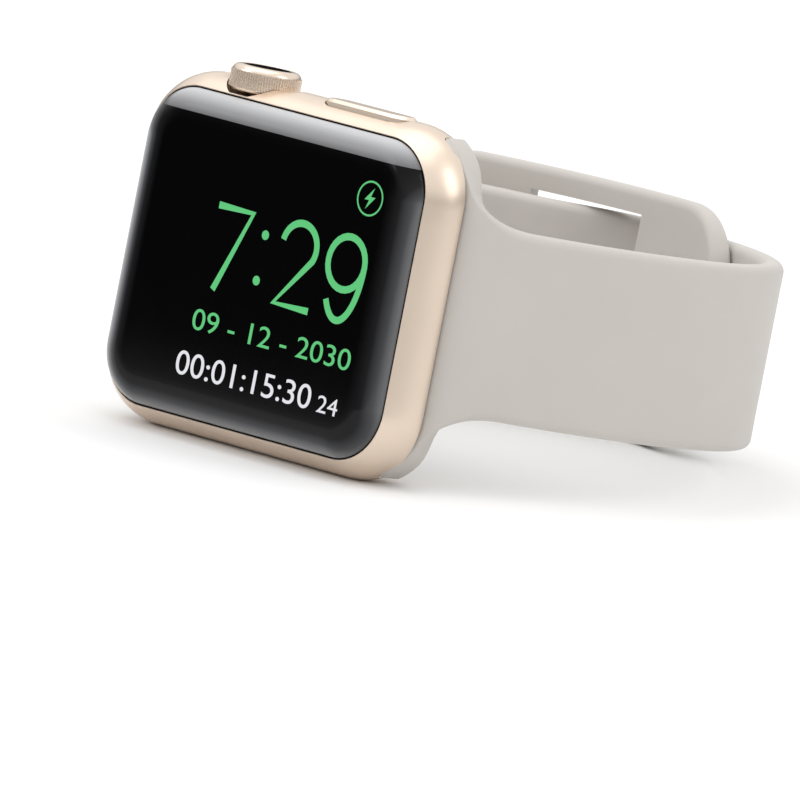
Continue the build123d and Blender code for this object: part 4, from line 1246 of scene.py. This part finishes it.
class BuildClosurePin(bpy.types.Operator):
    """Build the closure pin and the disc that backs it"""
    bl_idname = "smartwatch.closure_pin"
    bl_label = "Closure pin"

    def execute(self, context):
        case, _, band, *_ = settings(context)
        path = pin_path(band, case)
        distance = path.distance_at(lambda p: p.y > band.middle and p.x >= 5.0 * MM)
        place, _, outward = path.at(distance)
        outward = -outward
        half = band.thickness / 2
        seat = half + layer_step(band) + 0.1 * MM
        head, neck = 2.7 * MM, 1.45 * MM
        profile = [(neck, -half + 0.7 * MM), (neck, seat - 0.1 * MM), (neck + 0.1 * MM, seat),
                   (head - 0.25 * MM, seat), (head, seat + 0.2 * MM)]
        profile += [(head - run * 1.4, seat + 0.2 * MM + rise * 0.75)
                    for run, rise in quarter_round(0.75 * MM, 8)]
        profile.append((0.3 * MM, seat + 0.82 * MM))
        metal = polished_metal("polished_pin", case.metal)
        piece("closure_pin_head", turned(profile, place, outward, 72), "pin_strap", metal,
              ["closure_pin"])
        base = 2.4 * MM
        profile = [(base, -half + 0.7 * MM), (base, -half - 0.02 * MM), (base - 0.08 * MM, -half - 0.08 * MM),
                   (base * 0.5, -half - 0.1 * MM), (0.3 * MM, -half - 0.1 * MM)]
        piece("closure_pin_disc", turned(profile, place, outward, 72), "pin_strap", metal,
              ["closure_pin_base"])
        return {"FINISHED"}


class BuildReleaseButtons(bpy.types.Operator):
    """Build the two buttons that free the straps"""
    bl_idname = "smartwatch.release_buttons"
    bl_label = "Release buttons"

    def execute(self, context):
        case = settings(context)[0]
        metal = anodised_metal("anodised_release", case.metal, 0.3)
        for name in ("holes", "pin"):
            node = name + "_release_button"
            low, high = node_box(node)
            ring = release_ring((low + high) / 2, high.z - low.z, high.x - low.x)
            soft = 0.18 * MM
            rings = [ring(low.y), ring(high.y - soft)]
            rings += [ring(high.y - soft + rise, -run) for run, rise in quarter_round(soft, 4)[1:]]
            piece(name + "_release", skin(rings), name + "_release", metal, [node])
        return {"FINISHED"}


class FinishInnerParts(bpy.types.Operator):
    """Give every inner CAD part its finish"""
    bl_idname = "smartwatch.inner_parts"
    bl_label = "Inner parts"

    def execute(self, context):
        finishes = {
            "steel": machined_steel("machined_steel"),
            "brass_bushing": machined_steel("turned_brass", (0.62, 0.45, 0.18)),
            "coil_wire": machined_steel("enamelled_copper", (0.55, 0.22, 0.1)),
            "magnet": machined_steel("plated_magnet", (0.62, 0.62, 0.64)),
            "battery_foil": machined_steel("pouch_foil", (0.09, 0.09, 0.1)),
            "circuit_board": moulded_plastic("solder_mask", (0.01, 0.09, 0.045), 0.35),
            "inner_plastic": moulded_plastic("inner_plastic", (0.03, 0.03, 0.033), 0.5),
            "switch_dome": moulded_plastic("switch_plastic", (0.05, 0.05, 0.05), 0.4),
            "black_seal": moulded_plastic("seal_rubber", (0.012, 0.012, 0.012), 0.6),
            "display_panel": gloss_black("panel_black"),
        }
        for part in frame["record"]["subparts"]:
            node = frame["nodes"][part["node"]]
            if not node.hide_render:
                node.data.materials.clear()
                node.data.materials.append(finishes[part["material_slot"]])
        return {"FINISHED"}


# --- stage ---
class BuildStage(bpy.types.Operator):
    """Set up the floor, the light and the camera"""
    bl_idname = "smartwatch.stage"
    bl_label = "Stage"

    def execute(self, context):
        stage = settings(context)[-1]
        watch = watch_matrix()
        self.camera(context, stage, watch)
        self.floor(stage)
        self.world(context)
        centre = watch.translation
        self.softbox("overhead", centre, (-0.15, -0.05, 0.8), (0.9, 0.9), 2.2)
        self.softbox("key", centre, (-0.55, -0.75, 0.55), (0.5, 0.5), 1.5)
        self.softbox("rim", centre, (0.75, 0.25, 0.45), (0.35, 0.6), 1.0)
        return {"FINISHED"}

    def camera(self, context, stage, watch):
        """A camera with a very long lens, so that edges stay parallel."""
        right = Vector((math.cos(stage.azimuth), math.sin(stage.azimuth), 0))
        toward = Vector((math.sin(stage.azimuth) * math.cos(stage.elevation),
                         -math.cos(stage.azimuth) * math.cos(stage.elevation), math.sin(stage.elevation)))
        up = toward.cross(right)
        leant_right = right * math.cos(stage.roll) + up * math.sin(stage.roll)
        leant_up = up * math.cos(stage.roll) - right * math.sin(stage.roll)
        camera = bpy.data.cameras.new("camera")
        camera.lens = stage.lens
        distance = stage.span * stage.lens / camera.sensor_width
        camera.clip_end = 20.0
        obj = linked(bpy.data.objects.new("camera", camera))
        axes = Matrix((leant_right, leant_up, toward)).transposed().to_4x4()
        place = Matrix.Translation(Vector(stage.target) + toward * distance)
        obj.matrix_world = watch @ place @ axes
        context.scene.camera = obj

    def floor(self, stage):
        """A plain pale floor."""
        bm = bmesh.new()
        bmesh.ops.create_circle(bm, cap_ends=True, segments=96, radius=1.2)
        obj = linked(bpy.data.objects.new("floor", to_mesh(bm)))
        paper = grained("pale_paper", shade(stage.floor, 0.985), stage.floor, 0.75, 0.1, 0.4,
                        Specular_IOR_Level=0.2)
        obj.data.materials.append(paper)
        obj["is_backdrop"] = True

    def world(self, context):
        """A pale studio: bright overhead, and dark at the horizon, which the flat glass mirrors."""
        world = bpy.data.worlds.new("studio")
        world.use_nodes = True
        nodes, links = world.node_tree.nodes, world.node_tree.links
        background = nodes["Background"]
        background.inputs["Strength"].default_value = 1.15
        ramp = nodes.new("ShaderNodeValToRGB")
        for stop, (place, level) in zip((*ramp.color_ramp.elements, ramp.color_ramp.elements.new(0.3)),
                                        ((0.0, 0.03), (1.0, 1.0), (0.3, 0.93))):
            stop.position = place
            stop.color = (level, level, level, 1.0)
        split = nodes.new("ShaderNodeSeparateXYZ")
        links.new(nodes.new("ShaderNodeTexCoord").outputs["Generated"], split.inputs[0])
        links.new(split.outputs["Z"], ramp.inputs[0])
        links.new(ramp.outputs[0], background.inputs["Color"])
        context.scene.world = world
        context.scene.view_settings.view_transform = "Standard"

    def softbox(self, name, centre, offset, spread, power):
        """A soft rectangular light aimed at the watch."""
        light = bpy.data.lights.new(name, "AREA")
        light.shape = "RECTANGLE"
        light.size, light.size_y = spread
        light.energy = power
        obj = linked(bpy.data.objects.new(name, light))
        obj.location = centre + Vector(offset)
        obj.rotation_euler = Vector(offset).to_track_quat("Z", "Y").to_euler()


OPERATORS = (BuildCase, BuildGlass, BuildDisplay, BuildCrown, BuildSideButton, BuildBack, BuildHolesStrap,
             BuildPinStrap, BuildClosurePin, BuildReleaseButtons, FinishInnerParts, BuildStage)


class SmartwatchPanel(bpy.types.Panel):
    """Lists the pieces and their settings"""
    bl_idname = "VIEW3D_PT_smartwatch"
    bl_label = "Smartwatch"
    bl_space_type = "VIEW_3D"
    bl_region_type = "UI"
    bl_category = "Smartwatch"

    def draw(self, context):
        for name, group in GROUPS.items():
            box = self.layout.box()
            box.label(text=group.__doc__)
            for key in group.__annotations__:
                box.prop(getattr(context.scene, name), key)
        for operator in OPERATORS:
            self.layout.operator(operator.bl_idname)


def register():
    """Registers every class and the settings."""
    for cls in (*GROUPS.values(), *OPERATORS, SmartwatchPanel):
        bpy.utils.register_class(cls)
    for name, group in GROUPS.items():
        setattr(bpy.types.Scene, name, PointerProperty(type=group))


def unregister():
    """Removes what register added."""
    for name in GROUPS:
        delattr(bpy.types.Scene, name)
    for cls in (SmartwatchPanel, *reversed(OPERATORS), *reversed(GROUPS.values())):
        bpy.utils.unregister_class(cls)


def plain(box):
    """A box as plain lists of numbers."""
    return [[float(value) for value in corner] for corner in box]


def main():
    """Builds the whole watch and works out its size beside that of the CAD model."""
    register()
    for operator in OPERATORS:
        getattr(bpy.ops.smartwatch, operator.bl_idname.split(".")[1])()
    {"cad": plain(cad_bounds), "visual": plain(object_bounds())}


if __name__ == "__main__":
    main()
